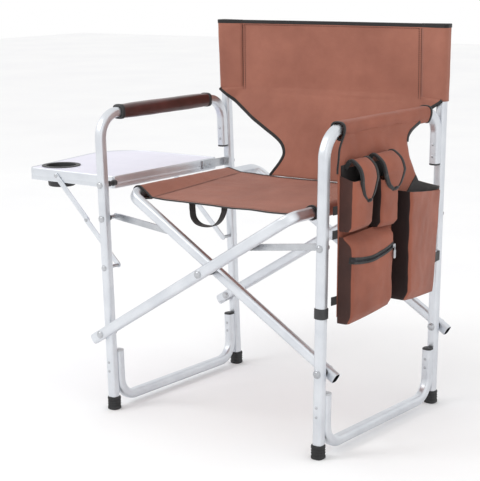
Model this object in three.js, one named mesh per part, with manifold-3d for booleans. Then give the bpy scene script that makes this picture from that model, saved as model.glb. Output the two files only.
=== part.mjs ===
// Folding director's chair with a drop-leaf side table and an arm organiser.
// Units are millimetres. X runs across the seat, Y from front to back, Z up.
// The table hangs on the -X side frame and the organiser on the +X side frame.
import * as THREE from 'three';
import { mergeVertices } from 'three/addons/utils/BufferGeometryUtils.js';
import Module from 'manifold-3d';

const wasm = await Module();
wasm.setup();

// ---------- driving dimensions ----------
const CLEARANCE = 0.3;             // gap left wherever two pieces touch
const HEIGHT = 864;                // floor to the top hem of the backrest
const HALF_WIDTH = 283;            // middle of the chair to a leg axis, at the floor
const HALF_DEPTH = 228.5;          // middle of the chair to a leg axis, front to back
const SPLAY = THREE.MathUtils.degToRad(1.52); // each side frame leans outward

const TUBE = 22;                   // side of the frame tube's rounded square section
const TUBE_CORNER = 7.5;
const PLUG_THICK = 6;              // black cap in each open tube end
const ARM_TUBE_TALL = 24;          // scissor tube, across its flat
const ARM_TUBE_WIDE = 20;
const BOLT_RADIUS = 4;
const HOLE_RADIUS = 4.4;
const HEAD_RADIUS = 7.5;
const HEAD_HEIGHT = 4;

const ARMREST_HEIGHT = 676;        // armrest tube axis
const FRONT_BEND = 56;
const REAR_BEND = 50;
const ARM_END_HEIGHT = 560;        // where the armrest's rear end stops beside the post
const RAIL_HEIGHT = 21;            // floor rail axis
const RAIL_BEND = 45;
const RAIL_END_HEIGHT = 132;
const FOOT_HEIGHT = 30;
const FOOT_SIZE = 27;
const FOOT_CORNER = 9;
const GRIP_SIZE = 31;
const GRIP_CORNER = 12;
const GRIP_FRONT = -170;
const GRIP_REAR = 152;

const PIVOT_HEIGHT = 182;          // scissor foot pivots on the legs
const CROSS_HEIGHT = 357.3;        // where the two scissors cross
const SCISSOR_OFFSET = 25;         // scissor tube axis in front of, or behind, the leg axis
const A_OVERHANG = 30;             // scissor tube beyond its foot pivot
const B_OVERHANG = 26;
const SCISSOR_BEND = 24;
const SEAT_RAIL_X = 235;           // seat rail axis from the middle of the chair
const SEAT_FRONT = -180;
const SEAT_REAR = 147;
const SLEEVE_WALL = 2.8;
const SLEEVE_CORNER = 9;

const LINK_HEIGHT = 442;           // upper link pivots on the legs
const LINK_ARM = 119.5;            // link pin on the scissor, from the crossing
const LINK_TALL = 14;
const LINK_THICK = 3;
const LINK_STANDOFF = 0.8;         // left link plates behind the scissor's back face

const BACK_BOTTOM = 695;           // lowest height where the backrest has its full width
const FABRIC = 5;

const TABLE_TOP = 531;
const TABLE_RIM = 28;
const RIM_WALL = 4;
const TABLE_INNER = -303;
const TABLE_OUTER_FRONT = -574;
const TABLE_OUTER_REAR = -640;     // the outer edge flares towards the back
const TABLE_HALF_LENGTH = 186.5;
const TABLE_CORNER = 108;          // the big round corner at the back
const HINGE_HEIGHT = 518;
const CUP_RADIUS = 38.5;
const CUP_DEPTH = 50;
const CUP_X = -533;
const CUP_Y = -120;
const BRACE_REACH = 187;           // table hinge to the brace's rivet on the rim
const BRACE_DROP = 188;            // table hinge down to the brace's rivet on the leg
const BRACE_WIDE = 13;
const BRACE_THICK = 3;

const PANEL_THICK = 3;             // organiser cloth
const TALL_POCKET_DEEP = 40;       // at its front edge; it tapers to the back
const TALL_POCKET_SHALLOW = 5;
const ZIP_POCKET_DEEP = 31;
const FLAP_POCKET_DEEP = 29;

const BEND_STEPS = 5;
const ROUND_SIDES = 12;

// ---------- colours ----------
const finish = (color, roughness, metalness = 0) => ({ color, roughness, metalness });
const ALUMINIUM = finish(0xd6d8da, 0.34, 0.9);
const STEEL = finish(0xb9bcc0, 0.3, 0.9);
const BLACK_PLASTIC = finish(0x18191a, 0.55);
const CANVAS = finish(0x9a5f4b, 0.85);
const GRIP_VINYL = finish(0x5a2a26, 0.6);
const TABLE_PLASTIC = finish(0xdddbe8, 0.45);
const WEBBING = finish(0x1c1c1e, 0.8);

const chair = new THREE.Group();

/** Adds a named piece to a group. */
function piece(name, geometry, look, parent = chair) {
  const mesh = new THREE.Mesh(geometry, new THREE.MeshStandardMaterial(look));
  mesh.name = name;
  parent.add(mesh);
  return mesh;
}

// ---------- booleans ----------
const WELD = 1e-4;                 // vertices closer than this are one

function onlyPositions(geometry) {
  const bare = geometry.clone();
  bare.deleteAttribute('normal');
  bare.deleteAttribute('uv');
  return bare;
}

function toSolid(geometry) {
  const merged = mergeVertices(onlyPositions(geometry), WELD);
  return new wasm.Manifold(new wasm.Mesh({
    numProp: 3,
    vertProperties: new Float32Array(merged.attributes.position.array),
    triVerts: new Uint32Array(merged.index.array),
  }));
}

function toGeometry(solid) {
  const mesh = solid.getMesh();
  const geometry = new THREE.BufferGeometry();
  geometry.setAttribute('position', new THREE.BufferAttribute(mesh.vertProperties, 3));
  geometry.setIndex(new THREE.BufferAttribute(mesh.triVerts, 1));
  return geometry;
}

const cut = (geometry, tools) =>
  toGeometry(tools.reduce((body, tool) => body.subtract(toSolid(tool)), toSolid(geometry)));
const join = (first, ...others) =>
  toGeometry(others.reduce((body, other) => body.add(toSolid(other)), toSolid(first)));

/** The same body seen in a mirror across the XZ plane. */
function mirrorFrontToBack(geometry) {
  const source = geometry.index ? geometry.toNonIndexed() : geometry.clone();
  const flipped = mergeVertices(onlyPositions(source), WELD);
  flipped.scale(1, -1, 1);
  const index = flipped.index.array;
  for (let i = 0; i < index.length; i += 3) {
    const second = index[i + 1];
    index[i + 1] = index[i + 2];
    index[i + 2] = second;
  }
  return flipped;
}

// ---------- shapes ----------
/** Points of a closed outline whose corners [x, y, radius] are rounded. */
function roundedPoints(corners, steps = BEND_STEPS) {
  const points = [];
  corners.forEach(([x, y, radius], i) => {
    const corner = new THREE.Vector2(x, y);
    const before = new THREE.Vector2(...corners.at(i - 1).slice(0, 2));
    const after = new THREE.Vector2(...corners[(i + 1) % corners.length].slice(0, 2));
    if (!radius) {
      points.push(corner);
      return;
    }
    const inward = corner.clone().sub(before).normalize();
    const outward = after.clone().sub(corner).normalize();
    const turn = Math.atan2(inward.cross(outward), inward.dot(outward));
    const reach = radius * Math.tan(Math.abs(turn) / 2);
    const start = corner.clone().addScaledVector(inward, -reach);
    const side = new THREE.Vector2(-inward.y, inward.x).multiplyScalar(Math.sign(turn));
    const centre = start.clone().addScaledVector(side, radius);
    for (let step = 0; step <= steps; step++) {
      const angle = (turn * step) / steps;
      points.push(start.clone().rotateAround(centre, angle));
    }
  });
  return points;
}

const outline = (corners, steps) => new THREE.Shape(roundedPoints(corners, steps));

const rectangleCorners = (x0, y0, x1, y1, radius) => [
  [x0, y0, radius],
  [x1, y0, radius],
  [x1, y1, radius],
  [x0, y1, radius],
];

const roundedRectangle = (wide, tall, radius, steps = 2) =>
  outline(rectangleCorners(-wide / 2, -tall / 2, wide / 2, tall / 2, radius), steps);

/** A slab: an outline in X and Y, standing from z0 up to z1. */
function slabZ(shape, z0, z1) {
  const geometry = new THREE.ExtrudeGeometry(shape, { depth: z1 - z0, bevelEnabled: false });
  return geometry.translate(0, 0, z0);
}

/** A slab: an outline in X and Z, running from y0 back to y1. */
function slabY(shape, y0, y1) {
  const geometry = new THREE.ExtrudeGeometry(shape, { depth: y1 - y0, bevelEnabled: false });
  return geometry.rotateX(Math.PI / 2).translate(0, y1, 0);
}

/** A slab: an outline in Y and Z, running from x0 out to x1. */
function slabX(shape, x0, x1) {
  const geometry = new THREE.ExtrudeGeometry(shape, { depth: x1 - x0, bevelEnabled: false });
  return geometry.rotateX(Math.PI / 2).rotateZ(Math.PI / 2).translate(x0, 0, 0);
}

/** A flat path of straight runs joined by round bends. */
class BentPath extends THREE.Curve {
  constructor(corners, planeNormal) {
    super();
    this.planeNormal = planeNormal;
    this.points = [];
    this.tangents = [];
    corners.forEach(([position, radius], i) => {
      const before = i > 0 ? corners[i - 1][0] : null;
      const after = i + 1 < corners.length ? corners[i + 1][0] : null;
      if (!before || !after) {
        const run = before ? position.clone().sub(before) : after.clone().sub(position);
        this.points.push(position.clone());
        this.tangents.push(run.normalize());
        return;
      }
      const inward = position.clone().sub(before).normalize();
      const outward = after.clone().sub(position).normalize();
      const turn = inward.angleTo(outward);
      const side = outward.clone().addScaledVector(inward, -outward.dot(inward)).normalize();
      const start = position.clone().addScaledVector(inward, -radius * Math.tan(turn / 2));
      const centre = start.clone().addScaledVector(side, radius);
      for (let step = 0; step <= BEND_STEPS; step++) {
        const angle = (turn * step) / BEND_STEPS;
        const spoke = side.clone().multiplyScalar(-Math.cos(angle));
        spoke.addScaledVector(inward, Math.sin(angle));
        this.points.push(centre.clone().addScaledVector(spoke, radius));
        const tangent = inward.clone().multiplyScalar(Math.cos(angle));
        this.tangents.push(tangent.addScaledVector(side, Math.sin(angle)));
      }
    });
  }

  get steps() {
    return this.points.length - 1;
  }

  getPointAt(t) {
    return this.points[Math.round(t * this.steps)].clone();
  }

  computeFrenetFrames() {
    const normals = this.tangents.map(() => this.planeNormal.clone());
    const binormals = this.tangents.map((t) => t.clone().cross(this.planeNormal));
    return { tangents: this.tangents, normals, binormals };
  }
}

function bentTube(section, path) {
  return new THREE.ExtrudeGeometry(section, { steps: path.steps, extrudePath: path });
}

/** A turned body on an axis along Y: bands are [radius, y where the band ends]. */
function turned(x, z, yStart, bands) {
  const profile = [new THREE.Vector2(0, yStart)];
  let y = yStart;
  for (const [radius, yEnd] of bands) {
    profile.push(new THREE.Vector2(radius, y), new THREE.Vector2(radius, yEnd));
    y = yEnd;
  }
  profile.push(new THREE.Vector2(0, y));
  return new THREE.LatheGeometry(profile, ROUND_SIDES).translate(x, 0, z);
}

const holeAlongY = (x, z) => turned(x, z, -1000, [[HOLE_RADIUS, 1000]]);

/** A flat bar with round ends in the XZ plane, from one pin to the other. */
function flatBar(from, to, tall, y0, y1) {
  const length = from.distanceTo(to);
  const angle = Math.atan2(to.y - from.y, to.x - from.x);
  const half = tall / 2;
  const bar = outline(rectangleCorners(-half, -half, length + half, half, half - 0.01), 4);
  const geometry = slabY(bar, y0, y1);
  return geometry.rotateY(-angle).translate(from.x, 0, from.y);
}

const frameSection = roundedRectangle(TUBE, TUBE, TUBE_CORNER);
const X_AXIS = new THREE.Vector3(1, 0, 0);
const Z_AXIS = new THREE.Vector3(0, 0, 1);
const inSide = (y, z) => new THREE.Vector3(0, y, z);
const legX = (z) => HALF_WIDTH + z * Math.tan(SPLAY);
const half = TUBE / 2;

// Faces of the legs and scissors, front to back, measured from a leg axis.
const LEG_FRONT = -half;
const LEG_BACK = half;
const A_FRONT = -SCISSOR_OFFSET - ARM_TUBE_WIDE / 2;
const A_BACK = -SCISSOR_OFFSET + ARM_TUBE_WIDE / 2;
const B_FRONT = SCISSOR_OFFSET - ARM_TUBE_WIDE / 2;
const B_BACK = SCISSOR_OFFSET + ARM_TUBE_WIDE / 2;

// ---------- side frames ----------
const rearEndY = HALF_DEPTH - TUBE - CLEARANCE;
const SLEEVE_SIZE = TUBE + 2 * CLEARANCE + 2 * SLEEVE_WALL;

/** A straight fabric or foam sleeve around a straight tube, as an outline with a hole. */
function sleeveSection(wide, tall, corner, boreWide, boreTall, boreCorner) {
  const shape = roundedRectangle(wide, tall, corner, 3);
  const bore = rectangleCorners(-boreWide / 2, -boreTall / 2, boreWide / 2, boreTall / 2, boreCorner);
  shape.holes.push(new THREE.Path(roundedPoints(bore, 2)));
  return shape;
}

function sideFrame(side, holes) {
  const sign = side === 'left' ? -1 : 1;
  const group = new THREE.Group();
  group.position.x = sign * HALF_WIDTH;
  group.rotation.y = sign * SPLAY;
  chair.add(group);

  const legBottom = FOOT_HEIGHT + 2 * CLEARANCE;
  const loop = new BentPath([
    [inSide(-HALF_DEPTH, legBottom), 0],
    [inSide(-HALF_DEPTH, ARMREST_HEIGHT), FRONT_BEND],
    [inSide(rearEndY, ARMREST_HEIGHT), REAR_BEND],
    [inSide(rearEndY, ARM_END_HEIGHT), 0],
  ], X_AXIS);
  const drill = (height) => holeAlongY(0, height);
  const loopBody = bentTube(frameSection, loop);
  piece(`${side}_armrest_tube`, cut(loopBody, holes.map(drill)), ALUMINIUM, group);

  const postTop = HEIGHT - PLUG_THICK;
  const post = slabZ(frameSection, legBottom, postTop).translate(0, HALF_DEPTH, 0);
  piece(`${side}_rear_post`, cut(post, holes.map(drill)), ALUMINIUM, group);

  const rail = new BentPath([
    [inSide(-rearEndY, RAIL_END_HEIGHT), 0],
    [inSide(-rearEndY, RAIL_HEIGHT), RAIL_BEND],
    [inSide(rearEndY, RAIL_HEIGHT), RAIL_BEND],
    [inSide(rearEndY, RAIL_END_HEIGHT), 0],
  ], X_AXIS);
  piece(`${side}_floor_rail`, bentTube(frameSection, rail), ALUMINIUM, group);

  const plug = roundedRectangle(TUBE - 1, TUBE - 1, TUBE_CORNER);
  const plugAt = (name, y, z0) =>
    piece(name, slabZ(plug, z0, z0 + PLUG_THICK).translate(0, y, 0), BLACK_PLASTIC, group);
  plugAt(`${side}_armrest_plug`, rearEndY, ARM_END_HEIGHT - PLUG_THICK - CLEARANCE);
  plugAt(`${side}_front_rail_plug`, -rearEndY, RAIL_END_HEIGHT + CLEARANCE);
  plugAt(`${side}_rear_rail_plug`, rearEndY, RAIL_END_HEIGHT + CLEARANCE);

  const bore = TUBE + 2 * CLEARANCE;
  const boreCorner = TUBE_CORNER + CLEARANCE;
  const grip = sleeveSection(GRIP_SIZE, GRIP_SIZE, GRIP_CORNER, bore, bore, boreCorner);
  const gripBody = slabY(grip, GRIP_FRONT, GRIP_REAR).translate(0, 0, ARMREST_HEIGHT);
  piece(`${side}_armrest_grip`, gripBody, side === 'left' ? GRIP_VINYL : CANVAS, group);

  const sleeve = sleeveSection(SLEEVE_SIZE, SLEEVE_SIZE, SLEEVE_CORNER, bore, bore, boreCorner);
  const sleeveBody = slabZ(sleeve, BACK_BOTTOM, HEIGHT).translate(0, HALF_DEPTH, 0);
  piece(`${side}_back_sleeve`, sleeveBody, CANVAS, group);

  for (const [end, y] of [['front', -HALF_DEPTH], ['rear', HALF_DEPTH]]) {
    const foot = roundedRectangle(FOOT_SIZE, FOOT_SIZE, FOOT_CORNER);
    const body = slabZ(foot, 0, FOOT_HEIGHT).translate(sign * HALF_WIDTH, y, 0);
    piece(`${side}_${end}_foot`, body, BLACK_PLASTIC);
  }
  return group;
}

const braceFootHeight = HINGE_HEIGHT - BRACE_DROP;
const leftFrame = sideFrame('left', [PIVOT_HEIGHT, LINK_HEIGHT, HINGE_HEIGHT, braceFootHeight]);
const rightFrame = sideFrame('right', [PIVOT_HEIGHT, LINK_HEIGHT]);

// ---------- scissors ----------
const pivotX = legX(PIVOT_HEIGHT);
const scissorAngle = Math.atan2(CROSS_HEIGHT - PIVOT_HEIGHT, pivotX);
const toCross = pivotX / Math.cos(scissorAngle);
const toRail = toCross + SEAT_RAIL_X / Math.cos(scissorAngle);
const armSection = roundedRectangle(ARM_TUBE_TALL, ARM_TUBE_WIDE, TUBE_CORNER);

/**
 * One scissor: a front arm, a seat rail and a rear arm bent from one tube.
 * It lies along its own X, from the foot pivot up to the seat rail.
 */
function scissor(name, sign, offset, overhang) {
  const group = new THREE.Group();
  group.position.set(-sign * pivotX, 0, PIVOT_HEIGHT);
  group.rotation.y = sign > 0 ? -scissorAngle : Math.PI + scissorAngle;
  chair.add(group);
  const front = -HALF_DEPTH + offset;
  const rear = HALF_DEPTH + offset;
  const path = new BentPath([
    [new THREE.Vector3(-overhang, front, 0), 0],
    [new THREE.Vector3(toRail, front, 0), SCISSOR_BEND],
    [new THREE.Vector3(toRail, rear, 0), SCISSOR_BEND],
    [new THREE.Vector3(-overhang, rear, 0), 0],
  ], Z_AXIS);
  const tube = cut(bentTube(armSection, path), [holeAlongY(0, 0), holeAlongY(toCross, 0)]);
  piece(`${name}_tube`, tube, ALUMINIUM, group);

  const boreWide = ARM_TUBE_WIDE + 2 * CLEARANCE;
  const boreTall = ARM_TUBE_TALL + 2 * CLEARANCE;
  const wall = 2 * SLEEVE_WALL;
  const sleeve = sleeveSection(
    boreWide + wall, boreTall + wall, SLEEVE_CORNER, boreWide, boreTall, TUBE_CORNER + CLEARANCE);
  const body = slabY(sleeve, SEAT_FRONT, SEAT_REAR).translate(toRail, 0, 0);
  piece(`${name}_seat_sleeve`, body, CANVAS, group);
}

scissor('scissor_a', 1, -SCISSOR_OFFSET, A_OVERHANG);
scissor('scissor_b', -1, SCISSOR_OFFSET, B_OVERHANG);

/** A through bolt: head, shank with a spacer between the two tubes, and nut. */
function throughBolt(name, x, z, legY, clampFront, spacerFront, spacerBack, clampBack) {
  const start = legY + clampFront - CLEARANCE - HEAD_HEIGHT;
  const body = turned(x, z, start, [
    [HEAD_RADIUS, legY + clampFront - CLEARANCE],
    [BOLT_RADIUS, legY + spacerFront + CLEARANCE],
    [HEAD_RADIUS + 1, legY + spacerBack - CLEARANCE],
    [BOLT_RADIUS, legY + clampBack + CLEARANCE],
    [HEAD_RADIUS, legY + clampBack + CLEARANCE + HEAD_HEIGHT],
  ]);
  piece(name, body, STEEL);
}

for (const [end, legY] of [['front', -HALF_DEPTH], ['rear', HALF_DEPTH]]) {
  throughBolt(`left_${end}_pivot_bolt`, -pivotX, PIVOT_HEIGHT, legY,
    A_FRONT, A_BACK, LEG_FRONT, LEG_BACK);
  throughBolt(`right_${end}_pivot_bolt`, pivotX, PIVOT_HEIGHT, legY,
    LEG_FRONT, LEG_BACK, B_FRONT, B_BACK);
  throughBolt(`${end}_cross_bolt`, 0, CROSS_HEIGHT, legY, A_FRONT, A_BACK, B_FRONT, B_BACK);
}

// ---------- links from the legs to the scissors ----------
const linkLegX = legX(LINK_HEIGHT);
const linkPinX = LINK_ARM * Math.cos(scissorAngle);
const linkPinZ = CROSS_HEIGHT + LINK_ARM * Math.sin(scissorAngle);

/** A link with its leg pin, bush and scissor spacer in one piece. */
function link(name, sign, legY, plateFront, scissorFace) {
  const atLeg = new THREE.Vector2(sign * linkLegX, LINK_HEIGHT);
  const atPin = new THREE.Vector2(sign * linkPinX, linkPinZ);
  const plateBack = plateFront + LINK_THICK;
  const plate = flatBar(atLeg, atPin, LINK_TALL, legY + plateFront, legY + plateBack);
  const pin = turned(atLeg.x, atLeg.y, legY + LEG_FRONT - CLEARANCE - HEAD_HEIGHT, [
    [HEAD_RADIUS, legY + LEG_FRONT - CLEARANCE],
    [BOLT_RADIUS, legY + LEG_BACK + CLEARANCE],
    [HEAD_RADIUS - 1, legY + plateBack + 1],
  ]);
  const ends = [scissorFace, plateFront + 1].sort((a, b) => a - b);
  const spacer = turned(atPin.x, atPin.y, legY + ends[0], [[HEAD_RADIUS - 1, legY + ends[1]]]);
  piece(name, join(plate, pin, spacer), STEEL);
}

for (const [end, legY] of [['front', -HALF_DEPTH], ['rear', HALF_DEPTH]]) {
  link(`left_${end}_link`, -1, legY, B_BACK + LINK_STANDOFF, B_BACK + CLEARANCE);
  link(`right_${end}_link`, 1, legY, LEG_BACK + 1, A_BACK + CLEARANCE);
}

// ---------- seat and back fabric ----------
const SEAT_RAIL_GAP = 16;          // seat cloth's edge from the rail axis
const seatHalf = SEAT_RAIL_X - SEAT_RAIL_GAP;
const seatTop = CROSS_HEIGHT + SEAT_RAIL_X * Math.tan(scissorAngle);
const seat = outline(rectangleCorners(-seatHalf, SEAT_FRONT, seatHalf, SEAT_REAR, 0), 1);
piece('seat_fabric', slabZ(seat, seatTop - FABRIC, seatTop), CANVAS);

const backEdge = (z) => legX(z) - SLEEVE_SIZE / 2 - 2 * CLEARANCE;
const backPanel = outline([
  [-backEdge(BACK_BOTTOM), BACK_BOTTOM, 0],
  [backEdge(BACK_BOTTOM), BACK_BOTTOM, 0],
  [backEdge(HEIGHT), HEIGHT, 0],
  [-backEdge(HEIGHT), HEIGHT, 0],
], 1);
piece('back_fabric', slabY(backPanel, HALF_DEPTH - FABRIC / 2, HALF_DEPTH + FABRIC / 2), CANVAS);

// The waist joins the back to the seat; it slopes forward and narrows in the middle.
const waistFoot = new THREE.Vector2(SEAT_REAR + 4, seatTop - FABRIC);
const waistHead = new THREE.Vector2(HALF_DEPTH, BACK_BOTTOM - 3);
const waistRun = waistHead.clone().sub(waistFoot);
const waistLength = waistRun.length();
// Half width, and how far up the waist, from the seat to the back.
const WAIST_SIDE = [
  { half: 116, up: 0, radius: 0 },
  { half: 85, up: 0.27, radius: 60 },
  { half: 123, up: 0.45, radius: 60 },
  { half: 284, up: 0.92, radius: 0 },
  { half: 284, up: 1, radius: 0 },
];
const waistCorners = (sign) =>
  WAIST_SIDE.map(({ half: wide, up, radius }) => [sign * wide, up * waistLength, radius]);
const waist = outline([...waistCorners(1), ...waistCorners(-1).reverse()], 3);
const waistBody = slabY(waist, -FABRIC / 2, FABRIC / 2);
waistBody.rotateX(-Math.atan2(waistRun.x, waistRun.y));
piece('waist_fabric', waistBody.translate(0, waistFoot.x, waistFoot.y), CANVAS);

// ---------- carry strap under the seat's front hem ----------
const STRAP_X = -49;
const STRAP_HALF = 46;
const STRAP_TAPER = 8;
const STRAP_DROP = 50;
const STRAP_WIDE = 22;
const STRAP_THICK = 3;
const STRAP_BEND = 22;
const STRAP_GAP = 2;
const strapHead = seatTop - FABRIC - STRAP_GAP;
const strapY = SEAT_FRONT + STRAP_WIDE / 2;
const strapPoint = (x, z) => new THREE.Vector3(STRAP_X + x, strapY, z);
const strapPath = new BentPath([
  [strapPoint(-STRAP_HALF, strapHead), 0],
  [strapPoint(STRAP_TAPER - STRAP_HALF, strapHead - STRAP_DROP), STRAP_BEND],
  [strapPoint(STRAP_HALF - STRAP_TAPER, strapHead - STRAP_DROP), STRAP_BEND],
  [strapPoint(STRAP_HALF, strapHead), 0],
], new THREE.Vector3(0, 1, 0));
const strapSection = roundedRectangle(STRAP_WIDE, STRAP_THICK, 1, 1);
piece('carry_strap', bentTube(strapSection, strapPath), WEBBING);

// ---------- side table ----------
const tableCorners = (inset) => [
  [TABLE_OUTER_FRONT + inset, -TABLE_HALF_LENGTH + inset, 16 - inset],
  [TABLE_INNER - inset, -TABLE_HALF_LENGTH + inset, 8 - inset],
  [TABLE_INNER - inset, TABLE_HALF_LENGTH - inset, 8 - inset],
  [TABLE_OUTER_REAR + inset, TABLE_HALF_LENGTH - inset, TABLE_CORNER - inset],
];
const rim = outline(tableCorners(0));
rim.holes.push(new THREE.Path(roundedPoints(tableCorners(RIM_WALL))));
piece('table_rim', slabZ(rim, TABLE_TOP - TABLE_RIM, TABLE_TOP), ALUMINIUM);

const BOARD_THICK = 10;
const panelTop = TABLE_TOP - 1;
const panel = outline(tableCorners(RIM_WALL + CLEARANCE));
const cupHole = new THREE.Path();
cupHole.absarc(CUP_X, CUP_Y, CUP_RADIUS + CLEARANCE, 0, 2 * Math.PI);
panel.holes.push(new THREE.Path(cupHole.getSpacedPoints(24)));
piece('table_top', slabZ(panel, panelTop - BOARD_THICK, panelTop), TABLE_PLASTIC);

const CUP_WALL = 2;
const CUP_FLANGE = 46.5;
const flangeBottom = panelTop + CLEARANCE;
const flangeTop = flangeBottom + 2.5;
const cupProfile = [
  [0, flangeTop - CUP_DEPTH],
  [CUP_RADIUS - 6, flangeTop - CUP_DEPTH],
  [CUP_RADIUS - 1, flangeBottom],
  [CUP_FLANGE, flangeBottom],
  [CUP_FLANGE, flangeTop],
  [CUP_RADIUS - 1 - CUP_WALL, flangeTop],
  [CUP_RADIUS - 6 - CUP_WALL, flangeTop - CUP_DEPTH + CUP_WALL],
  [0, flangeTop - CUP_DEPTH + CUP_WALL],
].map(([x, y]) => new THREE.Vector2(x, y));
const cup = new THREE.LatheGeometry(cupProfile, 24).rotateX(Math.PI / 2);
piece('cup_holder', cup.translate(CUP_X, CUP_Y, 0), BLACK_PLASTIC);

const hingeX = -legX(HINGE_HEIGHT);
const tableFront = -TABLE_HALF_LENGTH;
const legFaceY = -HALF_DEPTH + LEG_BACK;
const hingeBolt = turned(hingeX, HINGE_HEIGHT, -HALF_DEPTH + LEG_FRONT - CLEARANCE - HEAD_HEIGHT, [
  [HEAD_RADIUS, -HALF_DEPTH + LEG_FRONT - CLEARANCE],
  [BOLT_RADIUS, legFaceY + CLEARANCE],
  [HEAD_RADIUS, tableFront - CLEARANCE],
]);
piece('front_hinge_bolt', hingeBolt, BLACK_PLASTIC);

// The rear corner hangs on an angle bracket that the rear hinge bolt passes through.
const BRACKET_WALL = 3;
const BRACKET_TALL = 20;
const BRACKET_FRONT = 128;
const BRACKET_REACH = 12;          // past the hinge bolt's axis
const bracketBack = HALF_DEPTH + LEG_FRONT - BRACKET_WALL;
const bracketSide = TABLE_INNER + CLEARANCE;
const angle = outline([
  [bracketSide, BRACKET_FRONT, 0],
  [bracketSide + BRACKET_WALL, BRACKET_FRONT, 0],
  [bracketSide + BRACKET_WALL, bracketBack - BRACKET_WALL, 0],
  [hingeX + BRACKET_REACH, bracketBack - BRACKET_WALL, 0],
  [hingeX + BRACKET_REACH, bracketBack, 0],
  [bracketSide, bracketBack, 0],
], 1);
const bracketBody = slabZ(angle, HINGE_HEIGHT - BRACKET_TALL / 2, HINGE_HEIGHT + BRACKET_TALL / 2);
piece('rear_hinge_bracket', cut(bracketBody, [holeAlongY(hingeX, HINGE_HEIGHT)]), STEEL);
const rearBolt = turned(hingeX, HINGE_HEIGHT, bracketBack - BRACKET_WALL, [
  [BOLT_RADIUS, HALF_DEPTH + LEG_BACK + CLEARANCE],
  [HEAD_RADIUS, HALF_DEPTH + LEG_BACK + CLEARANCE + HEAD_HEIGHT],
]);
piece('rear_hinge_bolt', rearBolt, STEEL);

// Folding braces: two flat links each side, straight when the table is up.
const braceFoot = new THREE.Vector2(-legX(braceFootHeight), braceFootHeight);
const braceHead = new THREE.Vector2(hingeX - BRACE_REACH, HINGE_HEIGHT);
const braceLength = braceFoot.distanceTo(braceHead);
const lowerShare = (braceLength - (BRACE_DROP - BRACE_REACH)) / 2 / braceLength;
const knee = braceFoot.clone().lerp(braceHead, lowerShare);
const upperBack = tableFront - CLEARANCE;
const upperFront = upperBack - BRACE_THICK;
const lowerBack = upperFront - CLEARANCE;
const lowerFront = lowerBack - BRACE_THICK;
const lowerPlate = flatBar(braceFoot, knee, BRACE_WIDE, lowerFront, lowerBack);
const lowerPin = turned(braceFoot.x, braceFoot.y, -HALF_DEPTH + LEG_FRONT - CLEARANCE - HEAD_HEIGHT, [
  [HEAD_RADIUS - 1, -HALF_DEPTH + LEG_FRONT - CLEARANCE],
  [BOLT_RADIUS, legFaceY + CLEARANCE],
  [HEAD_RADIUS - 1.5, lowerBack - 1],
]);
const lowerBrace = join(lowerPlate, lowerPin);
const upperBrace = flatBar(braceHead, knee, BRACE_WIDE, upperFront, upperBack);
piece('front_lower_brace', lowerBrace, ALUMINIUM);
piece('front_upper_brace', upperBrace, ALUMINIUM);
piece('rear_lower_brace', mirrorFrontToBack(lowerBrace), ALUMINIUM);
piece('rear_upper_brace', mirrorFrontToBack(upperBrace), ALUMINIUM);

// ---------- organiser on the right armrest ----------
// Its outlines are in the side frame's own Y and Z; the panel hangs outside the armrest cover.
const organiser = new THREE.Group();
rightFrame.add(organiser);
const panelIn = GRIP_SIZE / 2 + 2 * CLEARANCE;
const pocketIn = panelIn + PANEL_THICK + CLEARANCE;
const organiserTop = ARMREST_HEIGHT + GRIP_SIZE / 2 - 4;
const organiserPanel = outline([
  [-202, 292, 8],
  [176, 296, 8],
  [200, 512, 8],
  [108, 536, 20],
  [56, 623, 20],
  [112, organiserTop, 0],
  [-200, organiserTop, 0],
], 3);
piece('organiser_panel', slabX(organiserPanel, panelIn, panelIn + PANEL_THICK), CANVAS, organiser);

// The tall pocket is a wedge, open at the top: deep at its front edge and flat at the back.
const POCKET_WALL = 3;
const TALL_FRONT = -4;
const TALL_REAR = 190;
const TALL_FOOT = 300;
const TALL_MOUTH = 523;
const HOLLOW_REAR = 168;
const tallTaper = (TALL_POCKET_DEEP - TALL_POCKET_SHALLOW) / (TALL_REAR - TALL_FRONT);
const tallDepth = (y) => TALL_POCKET_DEEP - tallTaper * (y - TALL_FRONT);
const tallOuter = slabZ(outline([
  [pocketIn, TALL_FRONT, 0],
  [pocketIn + TALL_POCKET_DEEP, TALL_FRONT, 3],
  [pocketIn + TALL_POCKET_SHALLOW, TALL_REAR, 2],
  [pocketIn, TALL_REAR, 0],
], 2), TALL_FOOT, TALL_MOUTH);
const hollowFront = TALL_FRONT + POCKET_WALL;
const hollowIn = pocketIn + POCKET_WALL;
const tallHollow = slabZ(outline([
  [hollowIn, hollowFront, 0],
  [pocketIn + tallDepth(hollowFront) - POCKET_WALL, hollowFront, 0],
  [pocketIn + tallDepth(HOLLOW_REAR) - POCKET_WALL, HOLLOW_REAR, 0],
  [hollowIn, HOLLOW_REAR, 0],
], 1), TALL_FOOT + POCKET_WALL, TALL_MOUTH + 1);
piece('tall_pocket', cut(tallOuter, [tallHollow]), CANVAS, organiser);

const pocketBlock = (y0, z0, y1, z1, deep) =>
  slabX(outline(rectangleCorners(y0, z0, y1, z1, 10), 3), pocketIn, pocketIn + deep);
piece('zip_pocket', pocketBlock(-197, 290, -36, 462, ZIP_POCKET_DEEP), CANVAS, organiser);

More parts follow.
